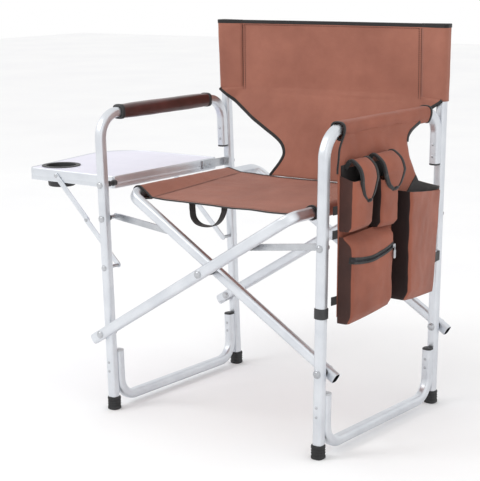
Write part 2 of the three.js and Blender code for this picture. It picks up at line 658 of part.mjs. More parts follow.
const FLAP_THICK = 3;
const FLAP_INSET = 4;              // each flap is this much narrower than its pocket, per side
const FLAP_POINT = 26;             // how far its middle hangs below its sides
const flapPockets = [
  { name: 'front', y0: -198, y1: -116, z0: 474, z1: 606, tip: 536 },
  { name: 'middle', y0: -98, y1: -18, z0: 467, z1: 616, tip: 546 },
];
for (const { name, y0, y1, z0, z1, tip } of flapPockets) {
  const body = pocketBlock(y0, z0, y1, z1, FLAP_POCKET_DEEP);
  piece(`${name}_flap_pocket`, body, CANVAS, organiser);
  const flapIn = pocketIn + FLAP_POCKET_DEEP + CLEARANCE;
  const flap = outline([
    [y0 + FLAP_INSET, z1, 4],
    [y0 + FLAP_INSET, tip + FLAP_POINT, 12],
    [(y0 + y1) / 2, tip, 16],
    [y1 - FLAP_INSET, tip + FLAP_POINT, 12],
    [y1 - FLAP_INSET, z1, 4],
  ], 3);
  piece(`${name}_flap`, slabX(flap, flapIn, flapIn + FLAP_THICK), CANVAS, organiser);
}

const PULL_WIDE = 8;
const PULL_LONG = 20;
const PULL_THICK = 3;
const PULL_Y = -50;
const ZIP_HEIGHT = 424;
const pullIn = pocketIn + ZIP_POCKET_DEEP + CLEARANCE;
const pull = outline(
  rectangleCorners(PULL_Y, ZIP_HEIGHT - PULL_LONG, PULL_Y + PULL_WIDE, ZIP_HEIGHT, 3), 3);
piece('zip_pull', slabX(pull, pullIn, pullIn + PULL_THICK), STEEL, organiser);

// ---------- origin on the floor, under the middle of the whole piece ----------
chair.updateMatrixWorld(true);
const bounds = new THREE.Box3().setFromObject(chair, true);
const middle = bounds.getCenter(new THREE.Vector3());
chair.position.set(-middle.x, -middle.y, -bounds.min.z);

export default chair;
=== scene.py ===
"""Looks of the folding director's chair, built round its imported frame.

Lengths are millimetres in the chair's own axes: X across the seat, Y from front to back, Z up,
with the middle of the four feet at x = y = 0. A placing matrix turns them into the frame's metres.
"""
import math

import bmesh
import bpy
from mathutils import Matrix, Vector, noise


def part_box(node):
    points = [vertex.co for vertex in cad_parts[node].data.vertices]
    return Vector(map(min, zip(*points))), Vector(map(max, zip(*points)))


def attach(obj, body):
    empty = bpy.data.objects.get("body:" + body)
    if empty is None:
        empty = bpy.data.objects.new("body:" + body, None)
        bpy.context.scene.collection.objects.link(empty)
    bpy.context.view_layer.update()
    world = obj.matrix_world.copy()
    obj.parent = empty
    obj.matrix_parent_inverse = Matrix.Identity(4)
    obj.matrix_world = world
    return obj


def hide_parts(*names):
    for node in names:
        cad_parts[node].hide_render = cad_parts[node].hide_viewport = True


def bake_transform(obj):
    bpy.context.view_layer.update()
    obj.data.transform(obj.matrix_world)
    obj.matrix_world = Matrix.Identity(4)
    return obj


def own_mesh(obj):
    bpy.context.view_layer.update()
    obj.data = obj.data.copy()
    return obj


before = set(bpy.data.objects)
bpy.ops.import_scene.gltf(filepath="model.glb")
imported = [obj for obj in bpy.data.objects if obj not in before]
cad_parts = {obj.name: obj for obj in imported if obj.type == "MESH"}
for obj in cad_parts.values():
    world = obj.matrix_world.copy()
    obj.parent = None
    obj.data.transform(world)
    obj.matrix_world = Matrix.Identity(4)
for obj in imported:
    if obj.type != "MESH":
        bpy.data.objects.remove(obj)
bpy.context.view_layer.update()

# ---------- driving dimensions ----------
HEIGHT = 864
HALF_WIDTH = 283
HALF_DEPTH = 228.5
SPLAY = math.radians(1.52)
TUBE = 22
TUBE_CORNER = 7.5
TUBE_WALL = 1.6
INNER_Y = 206.2                 # axis of the bent ends that lie against a leg
ARMREST_HEIGHT = 676
FRONT_BEND = 56
REAR_BEND = 50
ARM_END_HEIGHT = 560
RAIL_HEIGHT = 21
RAIL_BEND = 45
RAIL_END_HEIGHT = 132
FOOT_HEIGHT = 30
FOOT_SIZE = 27

ARM_TUBE_TALL = 24
ARM_TUBE_WIDE = 20
PIVOT_HEIGHT = 182
CROSS_HEIGHT = 357.3
SCISSOR_OFFSET = 25
A_OVERHANG = 30
B_OVERHANG = 26
SCISSOR_BEND = 24
SEAT_RAIL_X = 235
SEAT_FRONT = -180
SEAT_REAR = 147

LINK_HEIGHT = 442
LINK_ARM = 119.5
LINK_TALL = 14
LINK_STANDOFF = 0.8

BACK_BOTTOM = 695
BACK_STITCH = 250               # sewn line that closes each post sleeve
TABLE_TOP = 531
TABLE_RIM = 28
TABLE_INNER = -303
TABLE_OUTER_FRONT = -574
TABLE_OUTER_REAR = -640
TABLE_HALF_LENGTH = 186.5
TABLE_CORNER = 108
HINGE_HEIGHT = 518
CUP_RADIUS = 38.5
CUP_DEPTH = 50
CUP_X = -533
CUP_Y = -120
BRACE_REACH = 187
BRACE_DROP = 188

FRONT, REAR = -HALF_DEPTH, HALF_DEPTH
BEND_STEPS = 14
CORNER_STEPS = 5
MM = 0.001


def leg_x(z):
    """Distance from the chair's middle to a leg's axis at a height."""
    return HALF_WIDTH + z * math.tan(SPLAY)


# ---------- placing ----------
FEET = [f"{side}_{end}_foot" for side in ("left", "right") for end in ("front", "rear")]
corners = [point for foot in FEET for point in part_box(foot)]
ORIGIN = sum(corners, Vector()) / len(corners)
ORIGIN.z = 0
CHAIR = Matrix.Translation(ORIGIN) @ Matrix.Scale(MM, 4)


def side_frame(sign):
    """Placing of a side frame's own axes: X out of its plane, Z up its legs."""
    return CHAIR @ Matrix.Translation((sign * HALF_WIDTH, 0, 0)) @ Matrix.Rotation(sign * SPLAY, 4, "Y")


PIVOT_X = leg_x(PIVOT_HEIGHT)
SCISSOR_ANGLE = math.atan2(CROSS_HEIGHT - PIVOT_HEIGHT, PIVOT_X)
TO_CROSS = PIVOT_X / math.cos(SCISSOR_ANGLE)
TO_RAIL = TO_CROSS + SEAT_RAIL_X / math.cos(SCISSOR_ANGLE)
RAIL_Z = CROSS_HEIGHT + SEAT_RAIL_X * math.tan(SCISSOR_ANGLE)


def scissor_frame(sign):
    """Placing of a scissor: X runs from its foot pivot up to the seat rail."""
    turn = -SCISSOR_ANGLE if sign > 0 else math.pi + SCISSOR_ANGLE
    start = Matrix.Translation((-sign * PIVOT_X, 0, PIVOT_HEIGHT))
    return CHAIR @ start @ Matrix.Rotation(turn, 4, "Y")


# ---------- camera ----------
CAMERA_AZIMUTH = math.radians(37.76)
CAMERA_ELEVATION = math.radians(11.36)
CAMERA_ROLL = math.radians(-0.79)
CAMERA_DISTANCE = 3.224
CAMERA_TARGET = CHAIR @ Vector((-89.5, 0, 376.5))
CAMERA_LENS = 105.73


def add_camera():
    a, e, r = CAMERA_AZIMUTH, CAMERA_ELEVATION, CAMERA_ROLL
    back = Vector((math.sin(a) * math.cos(e), -math.cos(a) * math.cos(e), math.sin(e)))
    level = (-back).cross(Vector((0, 0, 1))).normalized()
    upright = level.cross(-back)
    right = level * math.cos(r) + upright * math.sin(r)
    up = upright * math.cos(r) - level * math.sin(r)
    data = bpy.data.cameras.new("camera")
    data.sensor_fit = "HORIZONTAL"
    data.sensor_width = 36
    data.lens = CAMERA_LENS
    camera = bpy.data.objects.new("camera", data)
    turn = Matrix((right, up, back)).transposed().to_4x4()
    camera.matrix_world = Matrix.Translation(CAMERA_TARGET + back * CAMERA_DISTANCE) @ turn
    bpy.context.scene.collection.objects.link(camera)
    bpy.context.scene.camera = camera


add_camera()


# ---------- materials ----------
class Nodes:
    """A material's node tree, filled a node at a time."""

    def __init__(self, name, **surface):
        self.material = bpy.data.materials.new(name)
        self.material.use_nodes = True
        self.tree = self.material.node_tree
        self.shader = self.tree.nodes["Principled BSDF"]
        for socket, value in surface.items():
            self.shader.inputs[socket.replace("_", " ")].default_value = value

    def add(self, kind, inputs=None, **settings):
        node = self.tree.nodes.new("ShaderNode" + kind)
        for key, value in settings.items():
            setattr(node, key, value)
        for socket, value in (inputs or {}).items():
            if isinstance(value, bpy.types.NodeSocket):
                self.tree.links.new(value, node.inputs[socket])
            else:
                node.inputs[socket].default_value = value
        return node.outputs[0]

    def math(self, operation, a, b=0.0):
        return self.add("Math", {0: a, 1: b}, operation=operation)

    def place(self, scale=(1, 1, 1)):
        """Points of the object in metres, scaled."""
        coordinates = self.tree.nodes.new("ShaderNodeTexCoord").outputs["Object"]
        return self.add("Mapping", {"Vector": coordinates, "Scale": scale})

    def threads(self, scale=(1, 1, 1)):
        """Metres across and along a sheet or tube, scaled."""
        return self.add("Mapping", {"Vector": self.add("UVMap", uv_map="threads"), "Scale": scale})

    def noise(self, where, scale, detail=3.0, roughness=0.5):
        return self.add("TexNoise", {
            "Vector": where, "Scale": scale, "Detail": detail, "Roughness": roughness})

    def ramp(self, value, low, high, start=0.0, end=1.0):
        """A value from low to high as the input goes from start to end."""
        return self.add("MapRange", {
            "Value": value, "From Min": start, "From Max": end, "To Min": low, "To Max": high})

    def mix(self, factor, first, second):
        node = self.tree.nodes.new("ShaderNodeMix")
        node.data_type = "RGBA"
        for name, value in (("Factor_Float", factor), ("A_Color", first), ("B_Color", second)):
            socket = next(s for s in node.inputs if s.identifier == name)
            if isinstance(value, bpy.types.NodeSocket):
                self.tree.links.new(value, socket)
            else:
                socket.default_value = value
        return next(s for s in node.outputs if s.identifier == "Result_Color")

    def bump(self, height, strength, distance, under=None):
        inputs = {"Height": height, "Strength": strength, "Distance": distance}
        if under is not None:
            inputs["Normal"] = under
        return self.add("Bump", inputs)

    def finish(self, colour=None, roughness=None, normal=None):
        wanted = (("Base Color", colour), ("Roughness", roughness), ("Normal", normal))
        for socket, value in wanted:
            if value is not None:
                self.tree.links.new(value, self.shader.inputs[socket])
        return self.material


def rgb(red, green, blue):
    """A display colour, 0 to 255, as linear light."""
    return tuple(((c / 255 + 0.055) / 1.055) ** 2.4 for c in (red, green, blue)) + (1.0,)


def canvas(name, light, dark, weave=1250.0, depth=0.00025):
    """Coarse polyester canvas: two crossing threads, faded patches and a soft sheen."""
    n = Nodes(name, Sheen_Weight=0.12, Sheen_Roughness=0.45, Specular_IOR_Level=0.35)
    split = n.tree.nodes.new("ShaderNodeSeparateXYZ")
    n.tree.links.new(n.threads((weave * math.pi, weave * math.pi, 1)), split.inputs[0])
    warp = n.math("SINE", split.outputs[0])
    weft = n.math("SINE", split.outputs[1])
    crossing = n.math("MULTIPLY", warp, weft)
    slub = n.noise(n.threads((60, 900, 1)), 1.0, 2)
    patches = n.noise(n.place(), 9.0, 4, 0.6)
    fine = n.noise(n.place(), 420.0, 2)
    tone = n.math("ADD", n.ramp(patches, 0.15, 0.85, 0.3, 0.7), n.ramp(slub, -0.12, 0.12))
    tone = n.math("ADD", tone, n.ramp(fine, -0.1, 0.1))
    tone = n.math("ADD", tone, n.ramp(crossing, -0.1, 0.1, -1, 1))
    folds = n.bump(n.noise(n.place((1, 1, 0.6)), 26.0, 3, 0.55), 0.35, 0.0035)
    normal = n.bump(crossing, 0.4, depth, folds)
    return n.finish(n.mix(tone, dark, light), n.ramp(fine, 0.72, 0.9), normal)


def webbing(name, light, dark):
    """Narrow ribbed tape."""
    n = Nodes(name, Sheen_Weight=0.2, Sheen_Roughness=0.5, Specular_IOR_Level=0.3)
    split = n.tree.nodes.new("ShaderNodeSeparateXYZ")
    n.tree.links.new(n.threads((2400, 4200, 1)), split.inputs[0])
    ribs = n.math("SINE", split.outputs[1])
    fine = n.noise(n.place(), 600.0, 2)
    tone = n.math("ADD", n.ramp(ribs, 0.25, 0.75, -1, 1), n.ramp(fine, -0.2, 0.2))
    return n.finish(n.mix(tone, dark, light), n.ramp(fine, 0.6, 0.85), n.bump(ribs, 0.5, 0.0003))


def metal(name, light, dark, rough_low, rough_high, run=(900, 6, 1), **surface):
    """Drawn metal: fine die lines along the run, faint smears and handling marks."""
    n = Nodes(name, Metallic=1.0, **surface)
    lines = n.noise(n.threads(run), 1.0, 3, 0.65)
    smears = n.noise(n.place(), 14.0, 4, 0.6)
    marks = n.noise(n.place(), 160.0, 2, 0.5)
    spots = n.ramp(marks, 0.0, 1.0, 0.66, 0.74)
    tone = n.math("ADD", n.ramp(smears, 0.2, 0.9, 0.3, 0.7), n.ramp(lines, -0.12, 0.12))
    colour = n.mix(n.math("MULTIPLY", spots, 0.25), n.mix(tone, dark, light), dark)
    roughness = n.math("ADD", n.ramp(lines, rough_low, rough_high, 0.3, 0.7), n.ramp(smears, -0.03, 0.05))
    return n.finish(colour, roughness, n.bump(lines, 0.12, 0.0002))


def plastic(name, light, dark, rough_low, rough_high, grain=900.0, depth=0.0002, **surface):
    """Moulded plastic or rubber with a fine grain and rubbed edges."""
    n = Nodes(name, **surface)
    pebbles = n.noise(n.place(), grain, 2, 0.6)
    cloud = n.noise(n.place(), 18.0, 4, 0.6)
    geometry = n.tree.nodes.new("ShaderNodeNewGeometry")
    edges = n.ramp(geometry.outputs["Pointiness"], 0.0, 0.6, 0.52, 0.62)
    tone = n.math("ADD", n.ramp(cloud, 0.1, 0.7, 0.3, 0.7),
                  n.math("ADD", edges, n.ramp(pebbles, -0.08, 0.08)))
    roughness = n.math("ADD", n.ramp(pebbles, rough_low, rough_high, 0.3, 0.7), n.ramp(cloud, -0.04, 0.04))
    return n.finish(n.mix(tone, dark, light), roughness, n.bump(pebbles, 0.3, depth))


ALUMINIUM = metal("anodised_aluminium", rgb(226, 229, 233), rgb(204, 208, 214), 0.34, 0.46, Anisotropic=0.3)
STEEL = metal("plated_steel", rgb(205, 207, 210), rgb(160, 163, 168), 0.22, 0.4, run=(300, 300, 1))
GUNMETAL = metal("zip_coil", rgb(92, 92, 96), rgb(40, 40, 43), 0.35, 0.5, run=(300, 300, 1))
# painted shade: the dark colour inside the open tube ends stands for the shade in the hollow
TUBE_INSIDE_SHADE = metal("tube_inside_painted_shade", rgb(60, 62, 66), rgb(30, 31, 34), 0.6, 0.8)
BLACK = plastic("black_plastic", rgb(58, 58, 60), rgb(16, 16, 18), 0.42, 0.58)
RUBBER = plastic("black_rubber", rgb(52, 52, 53), rgb(14, 14, 15), 0.6, 0.8, 500.0, 0.0004)
LAMINATE = plastic("table_laminate", rgb(226, 224, 238), rgb(214, 213, 229), 0.3, 0.42, 1400.0, 0.00008,
                   Coat_Weight=0.15, Coat_Roughness=0.25)
CANVAS = canvas("brown_canvas", rgb(168, 110, 92), rgb(140, 88, 73))
POUCH = canvas("pouch_canvas", rgb(164, 97, 76), rgb(128, 73, 57), 1000.0, 0.0003)
# painted shade: these darker canvases stand for the shade on each pouch's front side wall, the deep one where
# that shade is darkest
GUSSET_SHADE = canvas("gusset_painted_shade", rgb(84, 52, 45), rgb(50, 33, 30), 1000.0, 0.0003)
DEEP_GUSSET_SHADE = canvas("deep_gusset_painted_shade", rgb(44, 26, 24), rgb(20, 13, 13), 1000.0, 0.0003)
GREY_PLUG = plastic("grey_plastic", rgb(205, 207, 210), rgb(168, 170, 174), 0.4, 0.55)
VINYL = plastic("grip_vinyl", rgb(96, 48, 44), rgb(44, 20, 19), 0.3, 0.44, 700.0, 0.0005,
                Coat_Weight=0.25, Coat_Roughness=0.3)
TAPE = webbing("black_binding", rgb(48, 46, 46), rgb(10, 10, 11))
THREAD = webbing("dark_thread", rgb(86, 50, 40), rgb(44, 24, 20))
# painted shade: near-black cloth inside the pockets' mouths and on the panel behind them stands for the shade
# there
POCKET_SHADE = webbing("pocket_inside_painted_shade", rgb(40, 28, 26), rgb(14, 10, 10))


# ---------- outlines and paths ----------
def rounded_outline(corners, steps=CORNER_STEPS):
    """Points of a closed outline whose corners (x, y, radius) are rounded."""
    points = []
    for i, (x, y, radius) in enumerate(corners):
        corner = Vector((x, y))
        before = (corner - Vector(corners[i - 1][:2])).normalized()
        after = (Vector(corners[(i + 1) % len(corners)][:2]) - corner).normalized()
        turn = math.atan2(before.x * after.y - before.y * after.x, before.dot(after))
        if radius < 0.01 or abs(turn) < 0.01:
            points.append(corner)
            continue
        start = corner - before * radius * math.tan(abs(turn) / 2)
        centre = start + Vector((-before.y, before.x)) * math.copysign(radius, turn)
        for step in range(steps + 1):
            spoke = start - centre
            spoke.rotate(Matrix.Rotation(turn * step / steps, 2))
            points.append(centre + spoke)
    return points


def rectangle(x0, y0, x1, y1, radius, steps=CORNER_STEPS):
    return rounded_outline([(x0, y0, radius), (x1, y0, radius), (x1, y1, radius), (x0, y1, radius)], steps)


def block_ring(wide, tall, radius, steps=CORNER_STEPS):
    return rectangle(-wide / 2, -tall / 2, wide / 2, tall / 2, radius, steps)


def circle(radius, sides=24):
    return [Vector((radius * math.cos(2 * math.pi * i / sides), radius * math.sin(2 * math.pi * i / sides)))
            for i in range(sides)]


def bent_path(corners, steps=BEND_STEPS):
    """Points and directions along straight runs joined by round bends: corners are (point, radius)."""
    path = []
    for i, (corner, radius) in enumerate(corners):
        corner = Vector(corner)
        before = (corner - Vector(corners[i - 1][0])).normalized() if i else None
        after = (Vector(corners[i + 1][0]) - corner).normalized() if i + 1 < len(corners) else None
        if before is None or after is None:
            path.append((corner, before or after))
            continue
        turn = before.angle(after)
        inward = (after - before * after.dot(before)).normalized()
        start = corner - before * radius * math.tan(turn / 2)
        for step in range(steps + 1):
            angle = turn * step / steps
            point = start + before * radius * math.sin(angle) + inward * radius * (1 - math.cos(angle))
            path.append((point, before * math.cos(angle) + inward * math.sin(angle)))
    return path


def smooth_path(points, steps=8):
    """Points and directions along a smooth curve through the points."""
    points = [Vector(p) for p in points]
    ends = [points[0] * 2 - points[1]] + points + [points[-1] * 2 - points[-2]]
    curve = []
    for a, b, c, d in zip(ends, ends[1:], ends[2:], ends[3:]):
        for step in range(steps):
            t = step / steps
            curve.append(0.5 * ((2 * b) + (c - a) * t + (2 * a - 5 * b + 4 * c - d) * t * t
                                + (3 * b - a - 3 * c + d) * t ** 3))
    curve.append(points[-1])
    last = len(curve) - 1
    return [(p, (curve[min(i + 1, last)] - curve[max(i - 1, 0)]).normalized()) for i, p in enumerate(curve)]


def swept_rings(path, ring, normal):
    """The ring's points carried along a path; the ring's x lies along the normal."""
    normal = Vector(normal).normalized()
    rings = []
    for point, direction in path:
        across = (normal - direction * normal.dot(direction)).normalized()
        other = direction.cross(across)
        rings.append([point + across * p.x + other * p.y for p in ring])
    return rings


# ---------- shapes ----------
class Shape:
    """Points and faces of one mesh, with a material index and thread coordinates for each face."""

    def __init__(self):
        self.points = []
        self.faces = []
        self.slots = []
        self.threads = []

    def face(self, indices, threads, slot):
        self.faces.append(indices)
        self.threads.append(threads)
        self.slots.append(slot)

    def loft(self, rings, closed=True, capped=(True, True), slot=0, loop=False):
        """Skin over rings of equal count; closed joins each ring's ends, loop joins last ring to first."""
        base = len(self.points)
        count = len(rings[0])
        for ring in rings:
            self.points.extend(Vector(p) for p in ring)
        middle = rings[len(rings) // 2]
        around = [0.0]
        for i in range(count):
            around.append(around[-1] + (Vector(middle[(i + 1) % count]) - Vector(middle[i])).length)
        along = [0.0]
        for a, b in zip(rings, rings[1:] + rings[:1]):
            step = sum((Vector(q) - Vector(p)).length for p, q in zip(a, b)) / count
            along.append(along[-1] + step)
        for r in range(len(rings) if loop else len(rings) - 1):
            for c in range(count if closed else count - 1):
                nr, nc = (r + 1) % len(rings), (c + 1) % count
                quad = [(r, c), (r, nc), (nr, nc), (nr, c)]
                where = [(around[c], along[r]), (around[c + 1], along[r]),
                         (around[c + 1], along[r + 1]), (around[c], along[r + 1])]
                self.face([base + i * count + j for i, j in quad], where, slot)
        for cap, r, turned in ((capped[0], 0, True), (capped[1], len(rings) - 1, False)):
            if cap and closed and not loop:
                order = list(range(count))
                if turned:
                    order.reverse()
                where = [(p[0], p[1] + p[2]) for p in (self.points[base + r * count + i] for i in order)]
                self.face([base + r * count + i for i in order], where, slot)
        return self

    def prism(self, outline, low, high, lift, bevel=0.0, slot=0):
        """A slab: outline points lifted into space by lift(point, height), with a small bevel."""
        inset = shrink(outline, bevel)
        levels = [(low, inset), (low + bevel, outline), (high - bevel, outline), (high, inset)]
        if bevel == 0:
            levels = [(low, outline), (high, outline)]
        return self.loft([[lift(p, height) for p in ring] for height, ring in levels], slot=slot)

    def build(self, name, matrix, materials, body=None, slot=None, sharp=35, weighted=True):
        """Makes the object, in the row frame, and lets it ride on its body."""
        mesh = bpy.data.meshes.new(name)
        mesh.from_pydata([matrix @ p for p in self.points], [], self.faces)
        mesh.validate()
        for material in materials if isinstance(materials, (list, tuple)) else [materials]:
            mesh.materials.append(material)
        mesh.polygons.foreach_set("material_index", self.slots)
        layer = mesh.uv_layers.new(name="threads")
        flat = [c * MM for face in self.threads for point in face for c in point]
        layer.data.foreach_set("uv", flat)
        obj = bpy.data.objects.new(name, mesh)
        bpy.context.scene.collection.objects.link(obj)
        face_outward(mesh)
        mesh.shade_smooth()
        if sharp:
            mesh.set_sharp_from_angle(angle=math.radians(sharp))
        if weighted:
            obj.modifiers.new("even_shading", "WEIGHTED_NORMAL").keep_sharp = True
        if body:
            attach(obj, body)
        return obj


def face_outward(mesh):
    work = bmesh.new()
    work.from_mesh(mesh)
    bmesh.ops.recalc_face_normals(work, faces=work.faces)
    work.to_mesh(mesh)
    work.free()


def shrink(outline, amount):
    """A closed outline moved inward by an amount."""
    result = []
    count = len(outline)
    area = sum(outline[i - 1].x * outline[i].y - outline[i].x * outline[i - 1].y for i in range(count))
    hand = 1 if area > 0 else -1
    for i, point in enumerate(outline):
        before = (point - outline[i - 1]).normalized()
        after = (outline[(i + 1) % count] - point).normalized()
        inward = Vector((-(before + after).y, (before + after).x)) * hand
        if inward.length > 1e-6:
            inward.normalize()
        result.append(point + inward * amount)
    return result


def flat_xz(y0, hand=1):
    """Lifts outline points (x, z) into the XZ plane, at a height measured along Y."""
    return lambda p, height: Vector((p.x, y0 + hand * height, p.y))


def flat_yz(x0):
    return lambda p, height: Vector((x0 + height, p.x, p.y))


def flat_xy(p, height):
    return Vector((p.x, p.y, height))


def turned(shape, centre, axis, profile, sides=28, slot=0):
    """A turned body: profile is (radius, distance along the axis)."""
    axis = Vector(axis).normalized()
    first = axis.orthogonal().normalized()
    second = axis.cross(first)
    rings = []
    for radius, along in profile:
        rings.append([Vector(centre) + axis * along + (first * p.x + second * p.y) * max(radius, 0.01)
                      for p in circle(1.0, sides)])
    return shape.loft(rings, slot=slot)


def dome(radius, height, start, steps=5):
    """Profile of a dome head that ends at start + height."""
    return [(radius * math.cos(a), start + height * math.sin(a))
            for a in (math.pi / 2 * i / steps for i in range(steps + 1))]


def tube(name, path, ring, normal, matrix, body, open_ends=(True, True), hollow=26):
    """A drawn tube; an open end shows its wall and an inside coloured dark as painted shade."""
    path = list(path)
    outer = swept_rings(path, ring, normal)
    inner_ring = shrink(ring, TUBE_WALL)
    shape = Shape()
    skin = list(outer)
    for index, is_open in ((0, open_ends[0]), (-1, open_ends[1])):
        point, direction = path[index]
        inward = direction if index == 0 else -direction
        lip = swept_rings([(point, direction)], inner_ring, normal)[0]
        if not is_open:
            continue
        deep = [p + inward * hollow for p in lip]
        floor = swept_rings([(point + inward * hollow, direction)], shrink(inner_ring, 3), normal)[0]
        # the inside of an open end, slot 1: painted shade
        shape.loft([lip, deep, floor], capped=(False, True), slot=1)
        if index == 0:
            skin.insert(0, lip)
        else:
            skin.append(lip)
    shape.loft(skin, capped=(not open_ends[0], not open_ends[1]))
    return shape.build(name, matrix, [ALUMINIUM, TUBE_INSIDE_SHADE], body, "aluminium")


def rivets(name, spots, axis, radius, height, matrix, body, material=STEEL, slot="steel", sides=20):
    """Dome-headed rivets: spots are points on a face, the heads stand along the axis."""
    shape = Shape()
    for spot in spots:
        profile = [(radius * 0.9, -1.0), (radius, 0.0)] + dome(radius, height, 0.0)[1:]
        turned(shape, spot, axis, profile, sides)
    return shape.build(name, matrix, material, body, slot)


# ---------- frame tubes ----------
FRAME_RING = block_ring(TUBE, TUBE, TUBE_CORNER)
RAIL_RIVETS = (111, 91)
ARM_RIVETS = (602, 576)
X_AXIS, Y_AXIS, Z_AXIS = Vector((1, 0, 0)), Vector((0, 1, 0)), Vector((0, 0, 1))


def build_side(side):
    sign = -1 if side == "left" else 1
    body = f"{side}_frame"
    matrix = side_frame(sign)
    bottom = FOOT_HEIGHT - 6
    loop = bent_path([
        ((0, FRONT, bottom), 0),
        ((0, FRONT, ARMREST_HEIGHT), FRONT_BEND),
        ((0, INNER_Y, ARMREST_HEIGHT), REAR_BEND),
        ((0, INNER_Y, ARM_END_HEIGHT), 0),
    ])
    frame_tube = tube(f"{side}_armrest_loop", loop, FRAME_RING, X_AXIS, matrix, body, (False, True))
    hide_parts(f"{side}_armrest_tube")
    post = bent_path([((0, REAR, bottom), 0), ((0, REAR, HEIGHT - 6), 0)])
    post_tube = tube(f"{side}_post", post, FRAME_RING, X_AXIS, matrix, body, (False, True))
    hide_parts(f"{side}_rear_post")
    rail = bent_path([
        ((0, -INNER_Y, RAIL_END_HEIGHT), 0),
        ((0, -INNER_Y, RAIL_HEIGHT), RAIL_BEND),
        ((0, INNER_Y, RAIL_HEIGHT), RAIL_BEND),
        ((0, INNER_Y, RAIL_END_HEIGHT), 0),
    ])
    rail_tube = tube(f"{side}_rail", rail, FRAME_RING, X_AXIS, matrix, body)
    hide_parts(f"{side}_floor_rail")
    build_plug(side, "armrest", INNER_Y, ARM_END_HEIGHT, -1, BLACK)
    build_plug(side, "rear_rail", INNER_Y, RAIL_END_HEIGHT, 1, BLACK)
    build_plug(side, "front_rail", -INNER_Y, RAIL_END_HEIGHT, 1, GREY_PLUG)

    face = TUBE / 2
    front_faces = [(0, FRONT - face, z) for z in RAIL_RIVETS]
    front_faces += [(0, INNER_Y - face, z) for z in RAIL_RIVETS + ARM_RIVETS]
    back_faces = [(0, REAR + face, z) for z in RAIL_RIVETS + ARM_RIVETS]
    back_faces += [(0, -INNER_Y + face, z) for z in RAIL_RIVETS]
    rivets(f"{side}_front_rivets", front_faces, -Y_AXIS, 3.4, 1.8, matrix, body)
    rivets(f"{side}_back_rivets", back_faces, Y_AXIS, 3.4, 1.8, matrix, body)
    for end, y in (("front", FRONT), ("rear", REAR)):
        build_foot(side, end, sign * HALF_WIDTH, y, body)


def build_plug(side, place, y, z, up, material):
    """A moulded cap pushed into a tube end, with a low crown."""
    rings = []
    for height, size in (
            (-4, TUBE - 4), (0.2, TUBE - 4), (0.3, TUBE), (2.6, TUBE), (3.8, TUBE - 1.4), (4.4, TUBE - 6)):
        rings.append([Vector((p.x, y + p.y, z + up * height))
                      for p in block_ring(size, size, min(TUBE_CORNER, size / 3))])
    sign = -1 if side == "left" else 1
    plug = Shape().loft(rings).build(
        f"{side}_{place}_cap", side_frame(sign), material, f"{side}_frame", "black_plastic", sharp=50)
    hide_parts(f"{side}_{place}_plug")


def build_foot(side, end, x, y, body):
    """A rubber cap with three shallow ribs and a thicker tread."""
    levels = [(FOOT_SIZE - 3, 0), (FOOT_SIZE, 1.5), (FOOT_SIZE, 6)]
    for z in (9, 14.5, 20):
        levels += [(FOOT_SIZE - 1.6, z), (FOOT_SIZE - 1.6, z + 2),
                   (FOOT_SIZE - 0.2, z + 3), (FOOT_SIZE - 0.2, z + 4.6)]
    levels += [(FOOT_SIZE, FOOT_HEIGHT - 3), (FOOT_SIZE - 1, FOOT_HEIGHT - 0.6), (TUBE + 1, FOOT_HEIGHT)]
    rings = [[Vector((x + p.x, y + p.y, z)) for p in block_ring(size, size, 9)] for size, z in levels]
    foot = Shape().loft(rings).build(f"{side}_{end}_cap", CHAIR, RUBBER, body, "black_plastic", sharp=50)
    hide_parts(f"{side}_{end}_foot")


for side in ("left", "right"):
    build_side(side)


def build_scissor(name, sign, offset, overhang):
    front, rear = FRONT + offset, REAR + offset
    path = bent_path([
        ((-overhang, front, 0), 0),
        ((TO_RAIL, front, 0), SCISSOR_BEND),
        ((TO_RAIL, rear, 0), SCISSOR_BEND),
        ((-overhang, rear, 0), 0),
    ])
    ring = block_ring(ARM_TUBE_TALL, ARM_TUBE_WIDE, TUBE_CORNER)
    made = tube(f"{name}_bow", path, ring, Z_AXIS, scissor_frame(sign), name)
    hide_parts(f"{name}_tube")


build_scissor("scissor_a", 1, -SCISSOR_OFFSET, A_OVERHANG)
build_scissor("scissor_b", -1, SCISSOR_OFFSET, B_OVERHANG)

# ---------- bolts, links and braces ----------
LEG_FACE = TUBE / 2
A_FRONT = -SCISSOR_OFFSET - ARM_TUBE_WIDE / 2
A_BACK = -SCISSOR_OFFSET + ARM_TUBE_WIDE / 2
B_FRONT = SCISSOR_OFFSET - ARM_TUBE_WIDE / 2
B_BACK = SCISSOR_OFFSET + ARM_TUBE_WIDE / 2


def build_bolt(node, body, x, z, leg_y, front, spacer, back, material=STEEL, slot="steel"):
    """A through bolt: dome head on a washer in front, black spacer in the gap, washer and nut behind."""
    shape = Shape()
    turned(shape, (x, leg_y + front, z), -Y_AXIS,
           [(9, -0.3), (9, 1), (8.6, 1.3), (6.8, 1.3)] + dome(6.8, 2.9, 1.3))
    hexagon = [(6.2, 1.2), (6.2, 4.4), (5.4, 4.9), (3.2, 4.9), (3.2, 6.2), (2.6, 6.8)]
    turned(shape, (x, leg_y + back, z), Y_AXIS, [(9, -0.3), (9, 1), (8.6, 1.2)], 24)
    turned(shape, (x, leg_y + back, z), Y_AXIS, hexagon, 6)
    if spacer:
        start, end = spacer
        bush = [(8, 0.2), (8.6, 0.8), (8.6, end - start - 0.8), (8, end - start - 0.2)]
        turned(shape, (x, leg_y + start, z), Y_AXIS, bush, 24, slot=1)
    made = shape.build(f"{node}_fitting", CHAIR, [material, BLACK], body, slot)
    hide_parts(node)


